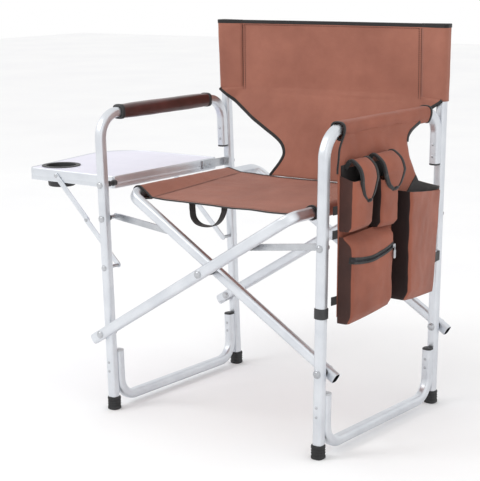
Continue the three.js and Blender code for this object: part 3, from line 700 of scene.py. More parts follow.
for end, leg_y in (("front", FRONT), ("rear", REAR)):
    build_bolt(f"left_{end}_pivot_bolt", "left_frame", -PIVOT_X, PIVOT_HEIGHT, leg_y,
               A_FRONT, (A_BACK, -LEG_FACE), LEG_FACE)
    build_bolt(f"right_{end}_pivot_bolt", "right_frame", PIVOT_X, PIVOT_HEIGHT, leg_y,
               -LEG_FACE, (LEG_FACE, B_FRONT), B_BACK)
    build_bolt(f"{end}_cross_bolt", "scissor_a", 0, CROSS_HEIGHT, leg_y, A_FRONT, (A_BACK, B_FRONT), B_BACK)

LINK_PIN_X = LINK_ARM * math.cos(SCISSOR_ANGLE)
LINK_PIN_Z = CROSS_HEIGHT + LINK_ARM * math.sin(SCISSOR_ANGLE)


def bar_matrix(start, end, y):
    """Placing of a flat bar: X from pin to pin, Z across its width, Y through its thickness."""
    run = Vector((end[0] - start[0], end[1] - start[1]))
    turn = Matrix.Rotation(-math.atan2(run.y, run.x), 4, "Y")
    return CHAIR @ Matrix.Translation((start[0], y, start[1])) @ turn, run.length


def channel_link(name, start, end, y, body, node):
    """A pressed link: a flat web with round ends and two turned-in edges, open in the middle."""
    matrix, length = bar_matrix(start, end, y)
    half = LINK_TALL / 2
    shape = Shape()
    shape.prism(rectangle(-half, -half, length + half, half, half - 0.01, 8), -0.4, 2.2, flat_xz(0), 0.5)
    for edge in (-1, 1):
        z = edge * (half - 1.1)
        shape.prism(rectangle(8, z - 1.1, length - 8, z + 1.1, 1.0), 2.0, 4.6, flat_xz(0), 0.4)
    made = shape.build(name, matrix, STEEL, body, "steel")
    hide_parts(node)
    return matrix, length


for end, leg_y in (("front", FRONT), ("rear", REAR)):
    for side, sign, plate, scissor_face in (
            ("left", -1, B_BACK + LINK_STANDOFF, B_BACK), ("right", 1, LEG_FACE + 1, A_BACK)):
        body = f"{side}_links"
        at_leg = (sign * leg_x(LINK_HEIGHT), LINK_HEIGHT)
        at_pin = (sign * LINK_PIN_X, LINK_PIN_Z)
        channel_link(f"{side}_{end}_link_bar", at_leg, at_pin, leg_y + plate, body, f"{side}_{end}_link")
        pins = Shape()
        turned(pins, (at_leg[0], leg_y - LEG_FACE, at_leg[1]), -Y_AXIS,
               [(8, -0.3), (8, 1), (6.2, 1.2)] + dome(6.2, 2.6, 1.2))
        turned(pins, (at_leg[0], leg_y + LEG_FACE, at_leg[1]), Y_AXIS,
               [(4.6, 0), (4.6, plate - LEG_FACE + 3.4), (3.6, plate - LEG_FACE + 4.4)], 24)
        bush = [(6.2, 0.3), (6.8, 0.8), (6.8, 4.6), (6.2, 5)]
        turned(pins, (at_leg[0], leg_y + LEG_FACE, at_leg[1]), Y_AXIS, bush, 24, slot=1)
        gap = (min(scissor_face, plate), max(scissor_face, plate))
        turned(pins, (at_pin[0], leg_y + gap[0], at_pin[1]), Y_AXIS,
               [(6, 0), (6, gap[1] - gap[0] + 1)], 24, slot=1)
        turned(pins, (at_pin[0], leg_y + plate + 2, at_pin[1]), Y_AXIS,
               [(5, -2), (5, 2.0)] + dome(5, 2, 2.0), 20)
        pins.build(f"{side}_{end}_link_pins", CHAIR, [STEEL, BLACK], body, "steel")

# ---------- side table ----------
TABLE_CORNERS = [
    (TABLE_OUTER_FRONT, -TABLE_HALF_LENGTH, 16),
    (TABLE_INNER, -TABLE_HALF_LENGTH, 8),
    (TABLE_INNER, TABLE_HALF_LENGTH, 8),
    (TABLE_OUTER_REAR, TABLE_HALF_LENGTH, TABLE_CORNER),
]
TABLE_EDGE = rounded_outline(TABLE_CORNERS, 16)


def build_table():
    low, top = TABLE_TOP - TABLE_RIM, TABLE_TOP
    profile = [  # inward from the outer face, and height
        (0.4, low), (0.0, low + 0.6), (0.0, low + 9), (0.7, low + 10), (0.7, low + 11), (0.0, low + 12),
        (0.0, top - 3), (0.5, top - 1), (1.4, top), (2.4, top), (3.4, top - 0.6), (4.0, top - 2),
        (4.0, top - 4), (4.0, low + 3), (9.0, low + 2), (9.0, low), (0.4, low),
    ]
    rings = [[Vector((p.x, p.y, z)) for p in shrink(TABLE_EDGE, inset)] for inset, z in profile]
    rim = Shape().loft(rings[:-1], loop=True).build(
        "table_edge", CHAIR, ALUMINIUM, "table", "aluminium", sharp=40)
    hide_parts("table_rim")

    surface = top - 1.0
    outline = shrink(TABLE_EDGE, 4.4)
    hole = [Vector((CUP_X, CUP_Y)) + p for p in circle(CUP_RADIUS + 0.5, 48)]
    panel = slab_with_hole(outline, hole, surface - 9, surface)
    made = panel.build("table_panel", CHAIR, LAMINATE, "table", "table_plastic", sharp=40)
    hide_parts("table_top")

    flange = surface + 2.2
    bottom = flange - CUP_DEPTH
    cup = Shape()
    turned(cup, (CUP_X, CUP_Y, 0), Z_AXIS, [
        (0.01, bottom), (CUP_RADIUS - 9, bottom), (CUP_RADIUS - 6.5, bottom + 1.5),
        (CUP_RADIUS - 1, surface - 0.5),
        (CUP_RADIUS + 1, surface), (CUP_RADIUS + 7, surface), (CUP_RADIUS + 8, surface + 0.8),
        (CUP_RADIUS + 7.4, flange - 0.4), (CUP_RADIUS + 5, flange), (CUP_RADIUS - 1, flange),
        (CUP_RADIUS - 3, flange - 1), (CUP_RADIUS - 3.4, flange - 3), (CUP_RADIUS - 8.5, bottom + 4),
        (CUP_RADIUS - 11, bottom + 2), (0.01, bottom + 2),
    ], 64)
    made = cup.build("cup_well", CHAIR, BLACK, "table", "black_plastic", sharp=30)
    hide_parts("cup_holder")


def slab_with_hole(outline, hole, low, high):
    """A flat slab with one hole, its two outlines bridged by a strip of triangles and quads."""
    shape = Shape()
    for ring, edge in ((outline, 0.6), (hole, -0.6)):
        levels = [(low, ring), (high - 0.6, ring), (high, shrink(ring, edge))]
        shape.loft([[Vector((p.x, p.y, z)) for p in points] for z, points in levels], capped=(False, False))
    work = bmesh.new()
    for level, edge in ((low, 0.0), (high, 0.6)):
        made = []
        for ring, inward in ((outline, edge), (hole, -edge)):
            verts = [work.verts.new((p.x, p.y, level)) for p in shrink(ring, inward)]
            made += [work.edges.new((verts[i - 1], verts[i])) for i in range(len(verts))]
        bmesh.ops.triangle_fill(work, use_beauty=True, use_dissolve=False, edges=made)
    base = len(shape.points)
    work.verts.index_update()
    shape.points.extend(v.co.copy() for v in work.verts)
    for f in work.faces:
        shape.face([base + v.index for v in f.verts], [(v.co.x, v.co.y) for v in f.verts], 0)
    work.free()
    merge = {}
    for i, p in enumerate(shape.points):
        merge.setdefault((round(p.x, 3), round(p.y, 3), round(p.z, 3)), i)
    shape.faces = [[merge[tuple(round(c, 3) for c in shape.points[i])] for i in f] for f in shape.faces]
    return shape


build_table()

HINGE_X = -leg_x(HINGE_HEIGHT)
BRACE_FOOT_Z = HINGE_HEIGHT - BRACE_DROP
BRACE_FOOT = (-leg_x(BRACE_FOOT_Z), BRACE_FOOT_Z)
BRACE_HEAD = (HINGE_X - BRACE_REACH, HINGE_HEIGHT)
BRACE_LENGTH = math.dist(BRACE_FOOT, BRACE_HEAD)
LOWER_SHARE = (BRACE_LENGTH - (BRACE_DROP - BRACE_REACH)) / 2 / BRACE_LENGTH
KNEE = tuple(a + (b - a) * LOWER_SHARE for a, b in zip(BRACE_FOOT, BRACE_HEAD))


def build_brace(end, hand):
    """Two flat links just outside the table's edge; hand is -1 in front and 1 behind."""
    face = hand * TABLE_HALF_LENGTH
    half = 6.5
    for name, start, finish, near in (
            ("upper", BRACE_HEAD, KNEE, 0.4), ("lower", BRACE_FOOT, KNEE, 3.8)):
        matrix, length = bar_matrix(start, finish, face)
        shape = Shape()
        outline = rectangle(-half, -half, length + half, half, half - 0.01, 8)
        shape.prism(outline, near, near + 2.8, flat_xz(0, hand), 0.5)
        groove = rectangle(14, -2.2, length - 14, 2.2, 2.1)
        shape.prism(groove, near + 2.6, near + 3.4, flat_xz(0, hand), 0.35)
        made = shape.build(f"{end}_{name}_strut", matrix, ALUMINIUM, f"{name}_braces", "aluminium")
        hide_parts(f"{end}_{name}_brace")
    axis = Y_AXIS * hand
    heads = Shape()
    turned(heads, (BRACE_HEAD[0], face, BRACE_HEAD[1]), axis, [(5, 0), (5, 3.4)] + dome(5, 2, 3.4), 20)
    turned(heads, (KNEE[0], face, KNEE[1]), axis, [(4.6, 0), (4.6, 3.4)] + dome(4.6, 0.3, 3.4), 20)
    heads.build(f"{end}_brace_rivets", CHAIR, STEEL, "upper_braces", "steel")
    pins = Shape()
    turned(pins, (KNEE[0], face, KNEE[1]), axis, [(4.6, 3.5), (4.6, 6.8)] + dome(4.6, 1.6, 6.8), 20)
    leg_face = hand * (HALF_DEPTH - LEG_FACE)
    reach = abs(leg_face - face)
    turned(pins, (BRACE_FOOT[0], face, BRACE_FOOT[1]), axis, [(3.6, 6), (4, 6.6), (4, reach - 0.4)], 24)
    outside = (BRACE_FOOT[0], hand * (HALF_DEPTH + LEG_FACE), BRACE_FOOT[1])
    turned(pins, outside, axis, [(7, -0.3), (7, 0.8), (5.6, 1)] + dome(5.6, 2.4, 1.0), 24)
    pins.build(f"{end}_brace_pins", CHAIR, [STEEL, BLACK], "lower_braces", "steel")


build_brace("front", -1)
build_brace("rear", 1)


def build_hinges():
    front = Shape()
    face = FRONT - LEG_FACE
    turned(front, (HINGE_X, face, HINGE_HEIGHT), -Y_AXIS,
           [(8, -0.3), (8, 1), (6.4, 1.2)] + dome(6.4, 2.6, 1.2))
    gap = -TABLE_HALF_LENGTH - (FRONT + LEG_FACE)
    turned(front, (HINGE_X, FRONT + LEG_FACE, HINGE_HEIGHT), Y_AXIS,
           [(5.8, 0.3), (6.4, 1), (6.4, gap * 0.36), (4.2, gap * 0.4), (4.2, gap * 0.6), (6.4, gap * 0.64),
            (6.4, gap - 1), (5.8, gap - 0.2)], 28, slot=1)
    made = front.build("front_hinge_fitting", CHAIR, [STEEL, BLACK], "left_frame", "black_plastic")
    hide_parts("front_hinge_bolt")
    rear = Shape()
    back = REAR + LEG_FACE
    turned(rear, (HINGE_X, back, HINGE_HEIGHT), Y_AXIS, [(8, -0.3), (8, 1), (6.4, 1.2)] + dome(6.4, 2.6, 1.2))
    turned(rear, (HINGE_X, REAR - LEG_FACE - 6.2, HINGE_HEIGHT), -Y_AXIS,
           [(2.7, -2), (2.7, 0.8), (2.1, 1.4)], 24)
    made = rear.build("rear_hinge_fitting", CHAIR, STEEL, "left_frame", "steel")
    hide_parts("rear_hinge_bolt")

    side, wall, back = TABLE_INNER + 0.3, 3, REAR - LEG_FACE - 3
    angle = rounded_outline([
        (side, 128, 0.5), (side + wall, 128, 0.5), (side + wall, back - wall, 1.0),
        (HINGE_X + 12, back - wall, 0.5), (HINGE_X + 12, back, 0.5), (side, back, 2.0)], 3)
    bracket = Shape().prism(angle, HINGE_HEIGHT - 10, HINGE_HEIGHT + 10, flat_xy, 0.5)
    made = bracket.build("rear_bracket", CHAIR, STEEL, "table", "steel")
    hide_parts("rear_hinge_bracket")
    spots = [(side + wall, y, HINGE_HEIGHT) for y in (138, 158)]
    rivets("rear_bracket_rivets", spots, X_AXIS, 4.2, 2.2, CHAIR, "table")


build_hinges()

# ---------- fabric ----------
CLOTH = 1.4                     # thickness of one layer of canvas
TAPE_WIDE = 9
TAPE_THICK = 3.4


def blend_steps(value, low, high):
    """0 below low, 1 above high, with a smooth turn between them."""
    t = min(max((value - low) / (high - low), 0.0), 1.0)
    return t * t * (3 - 2 * t)


def table_value(rows, x):
    """Smoothly interpolated value from (x, value) rows."""
    for (x0, v0), (x1, v1) in zip(rows, rows[1:]):
        if x <= x1:
            return v0 + (v1 - v0) * min(max((x - x0) / (x1 - x0), 0.0), 1.0)
    return rows[-1][1]


def ripple(point, size, depth, seed=0.0):
    """A gentle repeatable unevenness of hand-sewn cloth."""
    where = Vector(point) / size + Vector((seed, seed * 0.7, -seed))
    return depth * (noise.noise(where) + 0.4 * noise.noise(where * 2.3))


def steps(low, high, count):
    return [low + (high - low) * i / count for i in range(count + 1)]


def thicken(obj, thickness=CLOTH, offset=0.0):
    skin = obj.modifiers.new("cloth_thickness", "SOLIDIFY")
    skin.thickness = thickness * MM
    skin.offset = offset
    return obj


def tape(shape, path, normal, wide=TAPE_WIDE, thick=TAPE_THICK, slot=0, loop=False):
    """Binding tape folded over an edge: its width lies across the normal."""
    ring = rectangle(-thick / 2, -wide / 2, thick / 2, wide / 2, thick * 0.45, 3)
    rings = []
    for point, direction in path:
        facing = normal(point) if callable(normal) else Vector(normal)
        rings += swept_rings([(point, direction)], ring, facing)
    return shape.loft(rings, slot=slot, loop=loop)


def stitch_row(shape, points, facing, length=3.0, pitch=4.6, radius=0.55):
    """Separate stitches lying along a line of points on a surface that faces a given way."""
    facing = Vector(facing).normalized()
    run = [Vector(p) for p in points]
    lengths = [0.0]
    for a, b in zip(run, run[1:]):
        lengths.append(lengths[-1] + (b - a).length)
    spot = pitch / 2
    index = 0
    while spot < lengths[-1] - pitch / 2:
        while lengths[index + 1] < spot:
            index += 1
        direction = (run[index + 1] - run[index]).normalized()
        centre = run[index] + direction * (spot - lengths[index])
        side = direction.cross(facing).normalized()
        rings = []
        for along, size in ((-0.5, 0.3), (-0.3, 1.0), (0.3, 1.0), (0.5, 0.3)):
            middle = centre + direction * along * length
            rings.append([middle + (side * p.x + facing * p.y) * radius * size for p in circle(1.0, 6)])
        shape.loft(rings)
        spot += pitch


# ---------- seat cover ----------
SEAT_STITCH = 197               # sewn line that closes each rail sleeve
SEAT_FRONT_Z = 492
SEAT_REAR_Z = 507
SEAT_WRAP = 14.6                # rail sleeve radius


def seat_stitch_z(y):
    return SEAT_FRONT_Z + (SEAT_REAR_Z - SEAT_FRONT_Z) * (y - SEAT_FRONT) / (SEAT_REAR - SEAT_FRONT)


def seat_section(y):
    """Cloth from under the left sleeve, over the rail, across the seat and round the right one."""
    z = seat_stitch_z(y)
    stitch = Vector((SEAT_STITCH, z))
    rail = Vector((SEAT_RAIL_X, RAIL_Z))
    run = stitch - rail
    spread = math.acos(SEAT_WRAP / run.length)
    toward = math.atan2(run.y, run.x)
    top, bottom = toward - spread, toward + spread - 2 * math.pi
    around = [rail + Vector((math.cos(a), math.sin(a))) * SEAT_WRAP for a in steps(top, bottom, 20)]
    upper = [stitch.lerp(around[0], t) for t in steps(0, 1, 6)[1:-1]]
    lower_end = stitch + Vector((0, -2.4))
    lower = [around[-1].lerp(lower_end, t) for t in steps(0, 1, 6)[1:]]
    half = [stitch] + upper + around + lower
    crossing = [Vector((x, z - 3.0 * math.cos(x / SEAT_STITCH * math.pi / 2)))
                for x in steps(-SEAT_STITCH, SEAT_STITCH, 56)]
    mirrored = [Vector((-p.x, p.y)) for p in reversed(half)]
    return mirrored[:-1] + crossing + half[1:]


def build_seat():
    rows = []
    for y in steps(SEAT_FRONT, SEAT_REAR, 54):
        row = []
        for p in seat_section(y):
            inner = 1 - blend_steps(abs(p.x), SEAT_STITCH - 40, SEAT_STITCH + 10)
            edge = blend_steps(min(y - SEAT_FRONT, SEAT_REAR - y), 0, 40)
            pull = 4.0 * math.cos(min(abs(p.x) / SEAT_STITCH, 1) * math.pi / 2)
            shift = pull * (1 - 2 * (y - SEAT_FRONT) / (SEAT_REAR - SEAT_FRONT))
            if y > 0:
                shift = 0
            lift = ripple((p.x, y * 0.6, 0), 70, 1.3) * inner + ripple((p.x * 0.4, y, 3), 22, 0.45) * edge
            tension = (0.8 * math.sin(y / 9.0 + 1.3 * math.sin(y / 31.0))
                       * blend_steps(abs(p.x), SEAT_STITCH - 70, SEAT_STITCH) * inner)
            row.append(Vector((p.x, y + shift, p.y + lift + tension)))
        rows.append(row)
    seat = Shape().loft(rows, closed=False).build(
        "seat_cover", CHAIR, CANVAS, slot="canvas", sharp=None, weighted=False)
    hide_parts("seat_fabric", "scissor_a_seat_sleeve", "scissor_b_seat_sleeve")

    edges = Shape()
    for row, y_shift in ((rows[0], 1.2), (rows[-1], -1.2)):
        path = [p + Vector((0, y_shift, 0)) for p in row]
        last = len(path) - 1
        run = [(p, (path[min(i + 1, last)] - path[max(i - 1, 0)]).normalized()) for i, p in enumerate(path)]
        ring = rectangle(-3, -1.4, 3, 1.4, 1.2, 3)
        edges.loft(swept_rings(run, ring, Y_AXIS))
    binding = edges.build("seat_binding", CHAIR, TAPE, slot="webbing")

    sewing = Shape()
    for sign in (-1, 1):
        for inset in (1.5, 6.5):
            line = []
            for y in steps(SEAT_FRONT + 6, SEAT_REAR - 6, 40):
                x = SEAT_STITCH - inset
                dip = 3.0 * math.cos(x / SEAT_STITCH * math.pi / 2)
                line.append(Vector((sign * x, y, seat_stitch_z(y) - dip + 1.1)))
            stitch_row(sewing, line, Z_AXIS)
    for row, inset in ((rows[1], 4.0), (rows[-2], -4.0)):
        line = [p + Vector((0, inset, 1.1)) for p in row if abs(p.x) < SEAT_STITCH - 8]
        stitch_row(sewing, line, Z_AXIS)
    stitching = sewing.build("seat_stitching", CHAIR, THREAD, slot="webbing", weighted=False)

    straps = build_strap()
    for piece in (seat, binding, stitching, straps):
        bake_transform(piece)
    thicken(seat)


STRAP_X, STRAP_HALF, STRAP_DROP, STRAP_WIDE = -50, 44, 47, 20


def build_strap():
    """A loop of webbing sewn under the seat's front edge, with its two ends folded up flat."""
    y = SEAT_FRONT + 16
    head = seat_stitch_z(y) - 4.5
    points = [
        (STRAP_X - STRAP_HALF - 14, y + 3, head + 0.6), (STRAP_X - STRAP_HALF, y, head - 1),
        (STRAP_X - STRAP_HALF + 4, y - 3, head - 14), (STRAP_X - STRAP_HALF + 9, y - 5, head - 32),
        (STRAP_X - STRAP_HALF + 24, y - 6, head - STRAP_DROP + 3), (STRAP_X + 4, y - 6, head - STRAP_DROP),
        (STRAP_X + STRAP_HALF - 20, y - 5, head - STRAP_DROP + 4),
        (STRAP_X + STRAP_HALF - 6, y - 3, head - 30),
        (STRAP_X + STRAP_HALF + 2, y - 1, head - 12), (STRAP_X + STRAP_HALF + 4, y, head - 1),
        (STRAP_X + STRAP_HALF + 18, y + 3, head + 0.6),
    ]
    ring = rectangle(-STRAP_WIDE / 2, -0.9, STRAP_WIDE / 2, 0.9, 0.8, 2)
    shape = Shape().loft(swept_rings(smooth_path(points), ring, Y_AXIS))
    strap = shape.build("strap_loop", CHAIR, TAPE, slot="webbing")
    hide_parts("carry_strap")
    return strap


build_seat()

# ---------- back cover ----------
WAIST_FOOT = (150, 506)
WAIST_HEAD = (227.5, 698)
POST_INSIDE = 12.5              # from a leg's axis to just clear of the post's inner face
WAIST_HALF = [  # share of the waist's height, half width
    (0.0, 117), (0.08, 105), (0.17, 94), (0.27, 88), (0.37, 99), (0.45, 123),
    (0.54, 160), (0.66, 206), (0.83, 261), (1.0, 315),
]


def back_line():
    """Side view of the cover from its foot to the top hem: (y, z, half width)."""
    rows = []
    for t in steps(0, 1, 46):
        y = WAIST_FOOT[0] + (WAIST_HEAD[0] - WAIST_FOOT[0]) * t
        z = WAIST_FOOT[1] + (WAIST_HEAD[1] - WAIST_FOOT[1]) * t
        smooth = sum(table_value(WAIST_HALF, t + d) for d in (-0.03, -0.015, 0, 0.015, 0.03)) / 5
        rows.append((y, z, smooth))
    for z in steps(WAIST_HEAD[1], HEIGHT - 2, 36)[1:]:
        y = REAR - 1.0 * (1 - blend_steps(z, WAIST_HEAD[1], WAIST_HEAD[1] + 20))
        rows.append((y, z, leg_x(z) - POST_INSIDE))
    return rows


def back_point(y, z, half, u):
    x = u * half
    free = 1 - blend_steps(abs(x), BACK_STITCH - 30, BACK_STITCH + 5)
    above = blend_steps(z, BACK_BOTTOM - 12, BACK_BOTTOM + 10)
    hem = blend_steps(HEIGHT - z, 0, 30)
    sag = 5.0 * above * math.cos(min(abs(x) / BACK_STITCH, 1) * math.pi / 2)
    folds = 1.1 * math.sin(x / 16 + z / 40) * blend_steps(abs(x), BACK_STITCH - 60, BACK_STITCH) * free * hem
    folds += ripple((x * 0.7, 0, z), 80, 1.8, 5.0) * free
    waist = (1 - above) * ripple((x, 0, z * 0.35), 26, 1.5, 9.0) * (1 - abs(u) ** 4)
    depth = y + sag + folds + waist
    if z <= WAIST_HEAD[1]:
        depth = min(depth, 227 - 14 * blend_steps(abs(x), BACK_STITCH - 4, BACK_STITCH + 38))
    return Vector((x, depth, z))


def post_loop(sign, z, grow=0.0):
    """Plan section of a post's sleeve: a loop round the post drawn in to the sewn line."""
    axis = Vector((sign * leg_x(z), REAR))
    tip = Vector((sign * BACK_STITCH, REAR))
    ring = [Vector((p.x * sign, p.y)) for p in block_ring(TUBE + 3.6 + 2 * grow, TUBE + 3.6 + 2 * grow, 9)]
    outer = [axis + p for p in ring if p.x * sign > -3]
    outer.sort(key=lambda p: math.atan2(p.y - axis.y, (p.x - axis.x) * sign))
    low, high = outer[0], outer[-1]
    front = [Vector((tip.x, tip.y - 1.3 - grow)).lerp(low, t) for t in steps(0, 1, 7)[:-1]]
    rear = [high.lerp(Vector((tip.x, tip.y + 1.3 + grow)), t) for t in steps(0, 1, 7)[1:]]
    return front + outer + rear


def build_back():
    rows = [[back_point(y, z, half, u) for u in steps(-1, 1, 84)] for y, z, half in back_line()]
    back = Shape().loft(rows, closed=False).build(
        "back_cover", CHAIR, CANVAS, slot="canvas", sharp=None, weighted=False)
    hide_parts("back_fabric", "waist_fabric")

    edges = Shape()
    waist_rows = [row for row, (_, z, _) in zip(rows, back_line()) if z <= WAIST_HEAD[1] + 0.1]
    lean = Vector((0, WAIST_HEAD[0] - WAIST_FOOT[0], WAIST_HEAD[1] - WAIST_FOOT[1])).normalized()
    facing = X_AXIS.cross(lean)
    for side in (0, -1):
        inward = 1 if side == 0 else -1
        path = [row[side] + Vector((inward * 2.5, 0, 0)) for row in waist_rows]
        edges_path = smooth_path(path[::3] + [path[-1]], 3)
        tape(edges, edges_path, facing, 8.0, 3.6)
    hem = [p + Vector((0, 0, -2.5)) for p in rows[-1] if abs(p.x) < BACK_STITCH + 6]
    tape(edges, smooth_path(hem[::2], 2), Y_AXIS, 8.5, 4.0)
    binding = edges.build("back_binding", CHAIR, TAPE, slot="webbing")

    sewing = Shape()
    for sign in (-1, 1):
        for inset in (2.0, 8.0):
            x = sign * (BACK_STITCH - inset)
            line = []
            for z in steps(BACK_BOTTOM + 2, HEIGHT - 8, 30):
                p = back_point(REAR, z, BACK_STITCH, x / BACK_STITCH)
                line.append(p + Vector((0, -1.4, 0)))
            stitch_row(sewing, line, -Y_AXIS, 3.2, 4.6, 0.8)
    line = [p + Vector((0, -1.6, -9.5)) for p in rows[-1] if abs(p.x) < BACK_STITCH]
    stitch_row(sewing, line, -Y_AXIS)
    stitching = sewing.build("back_stitching", CHAIR, THREAD, slot="webbing", weighted=False)

    for piece in (back, binding, stitching):
        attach(piece, "left_frame")
        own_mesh(piece)
    thicken(back)


def build_sleeve(side):
    sign = -1 if side == "left" else 1
    levels = steps(BACK_BOTTOM, HEIGHT - 1, 30)
    rings = []
    for z in levels:
        ring = []
        for p in post_loop(sign, z):
            loose = blend_steps(abs(p.x), BACK_STITCH, BACK_STITCH + 25)
            ring.append(Vector((p.x, p.y + ripple((p.x, p.y, z * 0.7), 30, 0.9, 2.0 + sign) * loose, z)))
        rings.append(ring)
    shape = Shape().loft(rings, closed=False)
    sleeve = shape.build(f"{side}_sleeve", CHAIR, CANVAS, f"{side}_frame", "canvas", sharp=60, weighted=False)
    thicken(sleeve)
    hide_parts(f"{side}_back_sleeve")
    bands = Shape()
    low, high = HEIGHT - 9, HEIGHT
    section = [(low, 0.3), (low + 0.6, 1.2), (high - 0.6, 1.2), (high, 0.3)]
    bands.loft([[Vector((p.x, p.y, z)) for p in post_loop(sign, z, grow)] for z, grow in section],
               capped=(False, True))
    bound = bands.build(f"{side}_sleeve_binding", CHAIR, TAPE, f"{side}_frame", "webbing", sharp=60)


for side in ("left", "right"):
    build_sleeve(side)
build_back()

# ---------- armrests ----------
GRIP_FRONT, GRIP_REAR = -170, 152


def soft_square(radius, squareness, sides=40):
    """A ring between a circle and a square."""
    ring = []
    for i in range(sides):
        a = 2 * math.pi * i / sides
        power = 2 + squareness
        scale = (abs(math.cos(a)) ** power + abs(math.sin(a)) ** power) ** (-1 / power)
        ring.append(Vector((math.cos(a), math.sin(a))) * radius * scale)
    return ring


def build_grip():
    """Vinyl-covered foam with black moulded ends."""
    matrix = side_frame(-1)
    rings = []
    for y in steps(GRIP_FRONT + 6, GRIP_REAR - 6, 60):
        edge = min(y - GRIP_FRONT, GRIP_REAR - y)
        swell = 15.2 + 1.3 * blend_steps(edge, 5, 60)
        ring = []
        for p in soft_square(swell, 1.2):
            dent = ripple((p.x, y * 0.5, p.y), 18, 0.5, 3.0)
            seam = 1.1 * math.exp(-((p.x + 1) / 1.6) ** 2) if p.y < 0 else 0
            outward = Vector((p.x, 0, p.y)).normalized()
            ring.append(Vector((p.x, y, ARMREST_HEIGHT + p.y + seam)) + outward * dent)
        rings.append(ring)
    grip = Shape().loft(rings).build("left_grip_pad", matrix, VINYL, "left_frame", "grip_vinyl", sharp=60)
    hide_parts("left_armrest_grip")
    ends = Shape()
    for y, hand in ((GRIP_FRONT, 1), (GRIP_REAR, -1)):
        profile = [(11.4, 0.6), (12.6, 0.0), (14.6, 0.6), (16.2, 2.6),
                   (16.9, 6), (16.8, 9), (15.6, 10.4), (12, 10.6)]
        rings = [[Vector((p.x, y + hand * along, ARMREST_HEIGHT + p.y)) for p in soft_square(radius, 1.4)]
                 for radius, along in profile]
        ends.loft(rings, capped=(False, False))
    ends.build("left_grip_ends", matrix, BLACK, "left_frame", "black_plastic", sharp=50)


build_grip()

# ---------- organiser ----------
ARM = side_frame(1)
PANEL_X = 16                    # outside of the side frame, where the panel hangs
ROLL_FRONT, ROLL_REAR = -184, 156
PANEL_FOOT = 297
PANEL_FRONT_EDGE = [(297, -198), (450, -200), (600, -206), (640, -200), (662, -184)]
PANEL_REAR_EDGE = [
    (297, 176), (400, 188), (512, 200), (522, 160), (536, 108), (556, 92),
    (592, 68), (623, 56), (639, 63), (650, 82), (662, 112), (672, 140)]


def build_roll():
    """Padded cover sewn round the right armrest."""
    rings = []
    for y in steps(ROLL_FRONT, ROLL_REAR, 66):
        bend = blend_steps(-y, 170, 190) * 2.5
        ring = []
        for p in soft_square(15.6, 0.9, 44):
            drawn = 1 - blend_steps(p.y, -16, 2)
            x = p.x + (9 - p.x) * drawn * 0.55 + 1.0
            z = ARMREST_HEIGHT + p.y - 4.0 * drawn - bend
            from_end = min(y - ROLL_FRONT, ROLL_REAR - y)
            crumple = ripple((x, y * 0.55, z), 24, 1.0, 7.0) * blend_steps(from_end, 0, 25)
            out = Vector((p.x, 0, p.y)).normalized()
            ring.append(Vector((x, y, z)) + out * crumple)
        rings.append(ring)
    roll = Shape().loft(rings, capped=(False, False)).build(
        "right_arm_cover", ARM, POUCH, "right_frame", "canvas", sharp=60)
    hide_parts("right_armrest_grip")
    piping = Shape()
    for row, shift in ((rings[0], 1.0), (rings[-1], -1.0)):
        centre = sum(row, Vector()) / len(row)
        path = [centre + (p - centre) * 1.02 + Vector((0, shift, 0)) for p in row]
        count = len(path)
        run = [(p, (path[(i + 1) % count] - path[i - 1]).normalized()) for i, p in enumerate(path)]
        piping.loft(swept_rings(run, rectangle(-3.2, -1.6, 3.2, 1.6, 1.4, 3), Y_AXIS), loop=True)
    piping.build("right_arm_piping", ARM, TAPE, "right_frame", "webbing")


build_roll()


def panel_point(y, z, lift=0.0):
    """A point of the hanging panel: it leaves the armrest's seam and falls flat."""
    near_top = blend_steps(z, 610, 664)
    x = PANEL_X + 1.0 - 3.5 * near_top + lift
    sag = ripple((0, y + z * 0.6, z * 0.4 - y * 0.3), 34, 2.6, 4.0) * blend_steps(z, 560, 620)
    return Vector((x + sag * (1 - 0.4 * near_top), y, z))


def build_mouth_shades():
    """Dark patches on the panel behind each pocket's mouth: painted shade inside the mouth."""
    shape = Shape()
    behind_tall = [(z, 60 + (z - 520) * 1.15, table_value(PANEL_REAR_EDGE, z) - 1)
                   for z in steps(506, 550, 22)]
    behind_front = [(z, -196, -118 - 10 * blend_steps(z, 596, 606)) for z in steps(566, 606, 12)]
    behind_middle = [(z, -112, -36 - 10 * blend_steps(z, 598, 608)) for z in steps(566, 608, 12)]
    for patch in (behind_tall, behind_front, behind_middle):
        rows = [[panel_point(y, z, 1.3) for y in steps(y0, y1, 16)] for z, y0, y1 in patch]
        shape.loft(rows, closed=False)
    mouth_shades = shape.build("pocket_mouth_shades", ARM, POCKET_SHADE, "right_frame", "canvas", sharp=None, weighted=False)
    return thicken(mouth_shades, 0.6)


def build_panel():
    rows = []
    for z in steps(PANEL_FOOT, 668, 62):
        y0, y1 = table_value(PANEL_FRONT_EDGE, z), table_value(PANEL_REAR_EDGE, z)
        rows.append([panel_point(y, z) for y in steps(y0, y1, 40)])
    panel = Shape().loft(rows, closed=False).build(
        "hanging_panel", ARM, POUCH, "right_frame", "canvas", sharp=None, weighted=False)
    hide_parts("organiser_panel")
    thicken(panel)
    edges = Shape()
    rear = [row[-1] for row in rows if row[-1].z > 626]
    tape(edges, smooth_path(rear[::2], 3), X_AXIS, 8, 4)
    front = [row[0] for row in rows if row[0].z > 590]
    tape(edges, smooth_path(front[::2], 3), X_AXIS, 5, 3)
    binding = edges.build("panel_binding", ARM, TAPE, "right_frame", "webbing")
    mouth_shades = build_mouth_shades()


build_panel()


POUCH_CORNER_STEPS = 7
SHADED_MOUTH_ROWS = 16                # rows of a pouch, from its mouth, whose inner face is painted shade


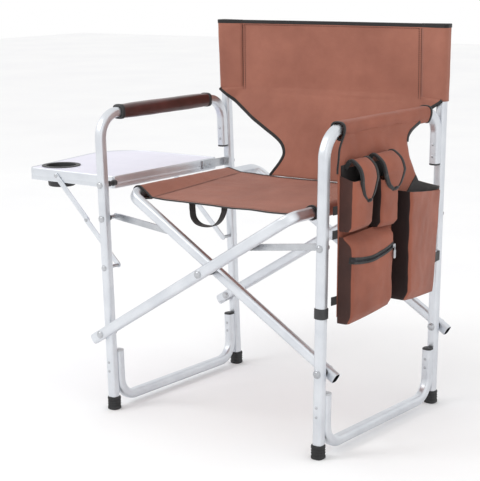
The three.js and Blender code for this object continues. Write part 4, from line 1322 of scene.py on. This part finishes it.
def pouch_ring(y0, y1, depth0, depth1, radius, crown):
    """Plan section of a pouch as (y, distance from the panel): up a side, across, down the other."""
    corners = [(y0, 0, 0), (y0 + 2, depth0, min(radius, depth0 * 0.45)),
               (y1 - 2, depth1, min(radius, depth1 * 0.45)), (y1, 0, 0)]
    points = []
    outline = rounded_outline(corners, POUCH_CORNER_STEPS)
    last = len(outline) - 2
    cuts = {0: 3, POUCH_CORNER_STEPS + 1: 24, last: 3}
    for index, (a, b) in enumerate(zip(outline, outline[1:])):
        pieces = cuts.get(index, 1)
        points += [a.lerp(b, i / pieces) for i in range(pieces)]
    points.append(outline[-1])
    middle, half = (y0 + y1) / 2, (y1 - y0) / 2
    result = []
    for p in points:
        bulge = crown * max(0.0, 1 - ((p.x - middle) / half) ** 2) * (p.y / max(depth0, depth1, 1))
        result.append(Vector((p.x, p.y + bulge)))
    return result


def build_pouch(name, node, y0, y1, foot, lip, depth, rear_depth=None, crown=5.0, mouth=0.0, seed=0.0,
                open_top=True, lean=0.0, side=None):
    """A sewn box pouch: foot and lip are its heights in front and behind, mouth lowers its front lip."""
    rear_depth = depth if rear_depth is None else rear_depth
    rings = []
    for t in steps(0, 1, 34):
        full = 0.72 + 0.28 * blend_steps(t, -0.02, 0.1)
        head = 1 - (0.0 if open_top else 0.7 * blend_steps(t, 0.84, 1.0) ** 2)
        size = full * head
        inset = (1 - full) * 4 + lean * (1 - t)
        ring = []
        for p in pouch_ring(y0 + inset * 0.3, y1 - inset, depth * size, rear_depth * size,
                            8 * size + 1, crown * size):
            share = (p.x - y0) / (y1 - y0)
            low = foot[0] + (foot[1] - foot[0]) * share
            z = low + (lip[0] + (lip[1] - lip[0]) * share - low) * t
            z -= mouth * blend_steps(t, 0.6, 1.0) * min(p.y / max(depth, 1), 1)
            puff = (ripple((p.y * 2, p.x * 0.8, z * 0.8), 30, 2.0, seed)
                    * min(p.y / 12, 1) * blend_steps(t, 0.02, 0.12))
            ring.append(Vector((PANEL_X + 2 + p.y + puff, p.x, z)))
        rings.append(ring)
    shape = Shape()
    shape.loft([[Vector((PANEL_X + 1.5, p.y, p.z)) for p in rings[0]]] + rings, closed=False, slot=0)
    # painted shade: the faces of the pouch's front side wall take slot 2, a darker canvas standing for its
    # shade
    shaded_columns = 3 + POUCH_CORNER_STEPS // 2
    columns = len(rings[0]) - 1
    shape.slots = [2 if i % columns < shaded_columns else 0 for i in range(len(shape.slots))]
    if open_top:
        # inner face of the mouth, slot 1, in the dark material: painted shade
        inner = []
        for drop, ring in enumerate(reversed(rings[-SHADED_MOUTH_ROWS:])):
            middle = sum(p.y for p in ring) / len(ring)
            inset = 1.6 + 0.12 * drop
            inner.append([Vector((max(PANEL_X + 2.2, p.x - inset),
                                  p.y + math.copysign(inset, middle - p.y), p.z))
                          for p in ring])
        shape.loft([rings[-1], inner[0]], closed=False, slot=1)
        shape.loft(inner, closed=False, slot=1)
    # slot 2, the front side wall, is painted shade; side chooses how deep
    made = shape.build(
        name, ARM, [POUCH, POCKET_SHADE, side or GUSSET_SHADE], "right_frame", "canvas", sharp=None, weighted=False)
    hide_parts(node)
    return rings


# the tall and middle pouches take the deepest painted shade on their front side walls
build_pouch("tall_pouch", "tall_pocket", 0, 200, (296, 274), (531, 503), 45, 3,
            crown=6, seed=11.0, lean=16,
            side=DEEP_GUSSET_SHADE)
ZIP_RINGS = build_pouch("zip_pouch", "zip_pocket", -198, -36, (284, 297), (462, 470), 32, 32,
                        crown=4, seed=21.0,
                        open_top=False)
build_pouch("front_pouch", "front_flap_pocket", -198, -116, (474, 478), (586, 590), 30, 30, crown=4, mouth=10,
            seed=31.0)
build_pouch("middle_pouch", "middle_flap_pocket", -92, -20, (468, 466), (592, 592), 30, 30, crown=4, mouth=26,
            seed=41.0, side=DEEP_GUSSET_SHADE)


def build_flap(name, node, y0, y1, root, crest, tip, reach, sway):
    """A bound tongue sewn to the panel, arching over the pouch's mouth and hanging to its tip."""
    middle, half = (y0 + y1) / 2, (y1 - y0) / 2
    spine = smooth_path([
        (PANEL_X + 3, middle, root), (PANEL_X + 6, middle, root + 5), (PANEL_X + reach * 0.5, middle, crest),
        (PANEL_X + reach, middle, crest - 14), (PANEL_X + reach + 6, middle, crest - 34),
        (PANEL_X + reach + 4, middle, (crest + tip) / 2 - 8), (PANEL_X + reach + 1, middle, tip),
    ], 7)
    length = len(spine) - 1
    rows = []
    for i, (p, _) in enumerate(spine):
        t = i / length
        wide = half if t < 0.72 else half * math.sqrt(max(0.0, 1 - ((t - 0.72) / 0.285) ** 2))
        wide = max(wide, half * 0.16)
        row = []
        for u in steps(-1, 1, 14):
            cup = -3.5 * u * u * blend_steps(t, 0.1, 0.4)
            row.append(Vector((p.x + cup, middle + sway * t + u * wide, p.z - abs(u) ** 3 * 1.5)))
        rows.append(row)
    flap = Shape().loft(rows, closed=False).build(
        f"{name}_tongue", ARM, POUCH, slot="canvas", sharp=None, weighted=False)
    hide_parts(node)
    edge = [row[0] for row in rows] + rows[-1][1:-1] + [row[-1] for row in reversed(rows)]
    centre = Vector((PANEL_X, middle, crest - 30))
    bound = Shape()
    path = smooth_path(edge[::2] + [edge[-1]], 3)
    ring = rectangle(-2.8, -4.8, 2.8, 4.8, 2.2, 3)
    rings = []
    for p, direction in path:
        out = Vector((p.x - centre.x + 8, 0, p.z - centre.z)).normalized()
        rings += swept_rings([(p, direction)], ring, out)
    bound.loft(rings)
    binding = bound.build(f"{name}_tongue_binding", ARM, TAPE, slot="webbing")
    for piece in (flap, binding):
        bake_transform(piece)
    thicken(flap)


build_flap("front", "front_flap", -182, -128, 600, 617, 533, 36, 14)
build_flap("middle", "middle_flap", -108, -38, 600, 620, 545, 38, 28)


def build_zip():
    """A curved coil zip across the lower pouch: its tape and teeth."""
    face = ZIP_RINGS[24]
    outer = [p for p in face if p.x > PANEL_X + 24]
    line = []
    for p in outer:
        share = (p.y - outer[0].y) / (outer[-1].y - outer[0].y)
        z = 418 + 8 * share - 12 * math.sin(math.pi * share) * (1 - 0.4 * share)
        level = min(ZIP_RINGS, key=lambda ring: abs(ring[0].z - z))
        near = min(level, key=lambda q: (q.y - p.y) ** 2 + (0 if q.x > PANEL_X + 20 else 1e6))
        line.append(Vector((near.x + 0.6, p.y, z)))
    path = smooth_path(line[::2] + [line[-1]], 4)
    shape = Shape()
    shape.loft(swept_rings(path, rectangle(-0.9, -7, 0.9, 7, 0.7, 2), X_AXIS))
    shape.build("zip_tape", ARM, TAPE, "right_frame", "webbing")
    teeth = Shape()
    points = [p for p, _ in path]
    stitch_row(teeth, [p + Vector((1.3, 0, 1.2)) for p in points], X_AXIS, 1.7, 2.6, 1.0)
    stitch_row(teeth, [p + Vector((1.3, 0, -1.2)) for p in points], X_AXIS, 1.7, 2.6, 1.0)
    teeth.build("zip_teeth", ARM, GUNMETAL, "right_frame", "steel", weighted=False)
    return points


ZIP_LINE = build_zip()


def build_zip_pull():
    low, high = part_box("zip_pull")
    centre = ARM.inverted() @ ((low + high) / 2)
    start = min(ZIP_LINE, key=lambda p: abs(p.y - centre.y))
    x, y, z = start.x + 1.5, start.y, start.z
    shape = Shape()
    shape.prism(rectangle(y - 4.5, z - 4, y + 4.5, z + 4, 2), 0, 4, flat_yz(x - 1), 0.6)
    shape.prism(rectangle(y - 1.3, z - 9, y + 1.3, z - 1, 1.2), 3.6, 5.4, flat_yz(x - 1), 0.4)
    shape.prism(rectangle(y - 4, z - 27, y + 4, z - 8, 3.4), 3.2, 5.4, flat_yz(x - 1), 0.6)
    made = shape.build("zip_slider", ARM, STEEL, "zip_pull", "steel")
    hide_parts("zip_pull")


build_zip_pull()


def leg_loop(shape, y, low, high):
    """A band round a leg, from one height up to another."""
    rings = []
    for height, grow in ((low, 0.2), (low + 0.8, 1.2), (high - 0.8, 1.2), (high, 0.2)):
        grown = block_ring(TUBE + 1 + 2 * grow, TUBE + 1 + 2 * grow, 8.2)
        rings.append([Vector((p.x, y + p.y, height)) for p in grown])
    shape.loft(rings)


def build_tabs():
    """Short webbing straps that hold the panel to the legs, and a stop band on the front leg."""
    shape = Shape()
    leg_side = TUBE / 2 + 0.6
    front = [(PANEL_X - 1.5, -215, 0), (PANEL_X - 0.5, -206, 0), (PANEL_X + 0.5, -190, 0)]
    rear = [(leg_side, 222, 0), (leg_side + 1.5, 208, 0), (PANEL_X, 190, 0), (PANEL_X + 0.5, 172, 0)]
    for route, heights, wide in ((front, (517, 468, 332), 18), (rear, (350,), 22)):
        section = rectangle(-0.9, -wide / 2, 0.9, wide / 2, 0.8, 2)
        for z in heights:
            run = smooth_path([Vector(p) + Vector((0, 0, z)) for p in route], 4)
            shape.loft(swept_rings(run, section, X_AXIS))
    shape.build("panel_tabs", ARM, TAPE, "right_frame", "webbing")
    band = Shape()
    leg_loop(band, FRONT, 297, 319)
    band.build("leg_band", ARM, BLACK, "right_frame", "black_plastic")


build_tabs()

# ---------- stage ----------
def add_stage():
    mesh = bpy.data.meshes.new("floor")
    reach = 12.0
    corners = [(-reach, -reach, 0), (reach, -reach, 0), (reach, reach, 0), (-reach, reach, 0)]
    mesh.from_pydata(corners, [], [(0, 1, 2, 3)])
    n = Nodes("pale_floor", Roughness=0.9, Specular_IOR_Level=0.2)
    tone = n.ramp(n.noise(n.place(), 1.5, 3), 0.0, 1.0, 0.3, 0.7)
    mesh.materials.append(n.finish(n.mix(tone, rgb(246, 246, 247), rgb(250, 250, 250))))
    floor = bpy.data.objects.new("floor", mesh)
    bpy.context.scene.collection.objects.link(floor)


def add_lamp(name, where, size, power, aim=(0, 0, 0.45)):
    data = bpy.data.lights.new(name, "AREA")
    data.size = size
    data.energy = power
    lamp = bpy.data.objects.new(name, data)
    place = Vector(where)
    turn = (Vector(aim) - place).to_track_quat("-Z", "Y").to_matrix().to_4x4()
    lamp.matrix_world = Matrix.Translation(place) @ turn
    bpy.context.scene.collection.objects.link(lamp)


def add_world():
    world = bpy.data.worlds.new("studio")
    bpy.context.scene.world = world
    world.use_nodes = True
    background = world.node_tree.nodes["Background"]
    background.inputs["Color"].default_value = (1.0, 1.0, 1.0, 1.0)
    background.inputs["Strength"].default_value = 1.0


add_stage()
add_world()
add_lamp("key", (-1.6, -2.4, 2.8), 1.2, 34)
add_lamp("fill", (2.6, -1.8, 1.6), 2.0, 6)
bpy.context.scene.view_settings.view_transform = "Standard"
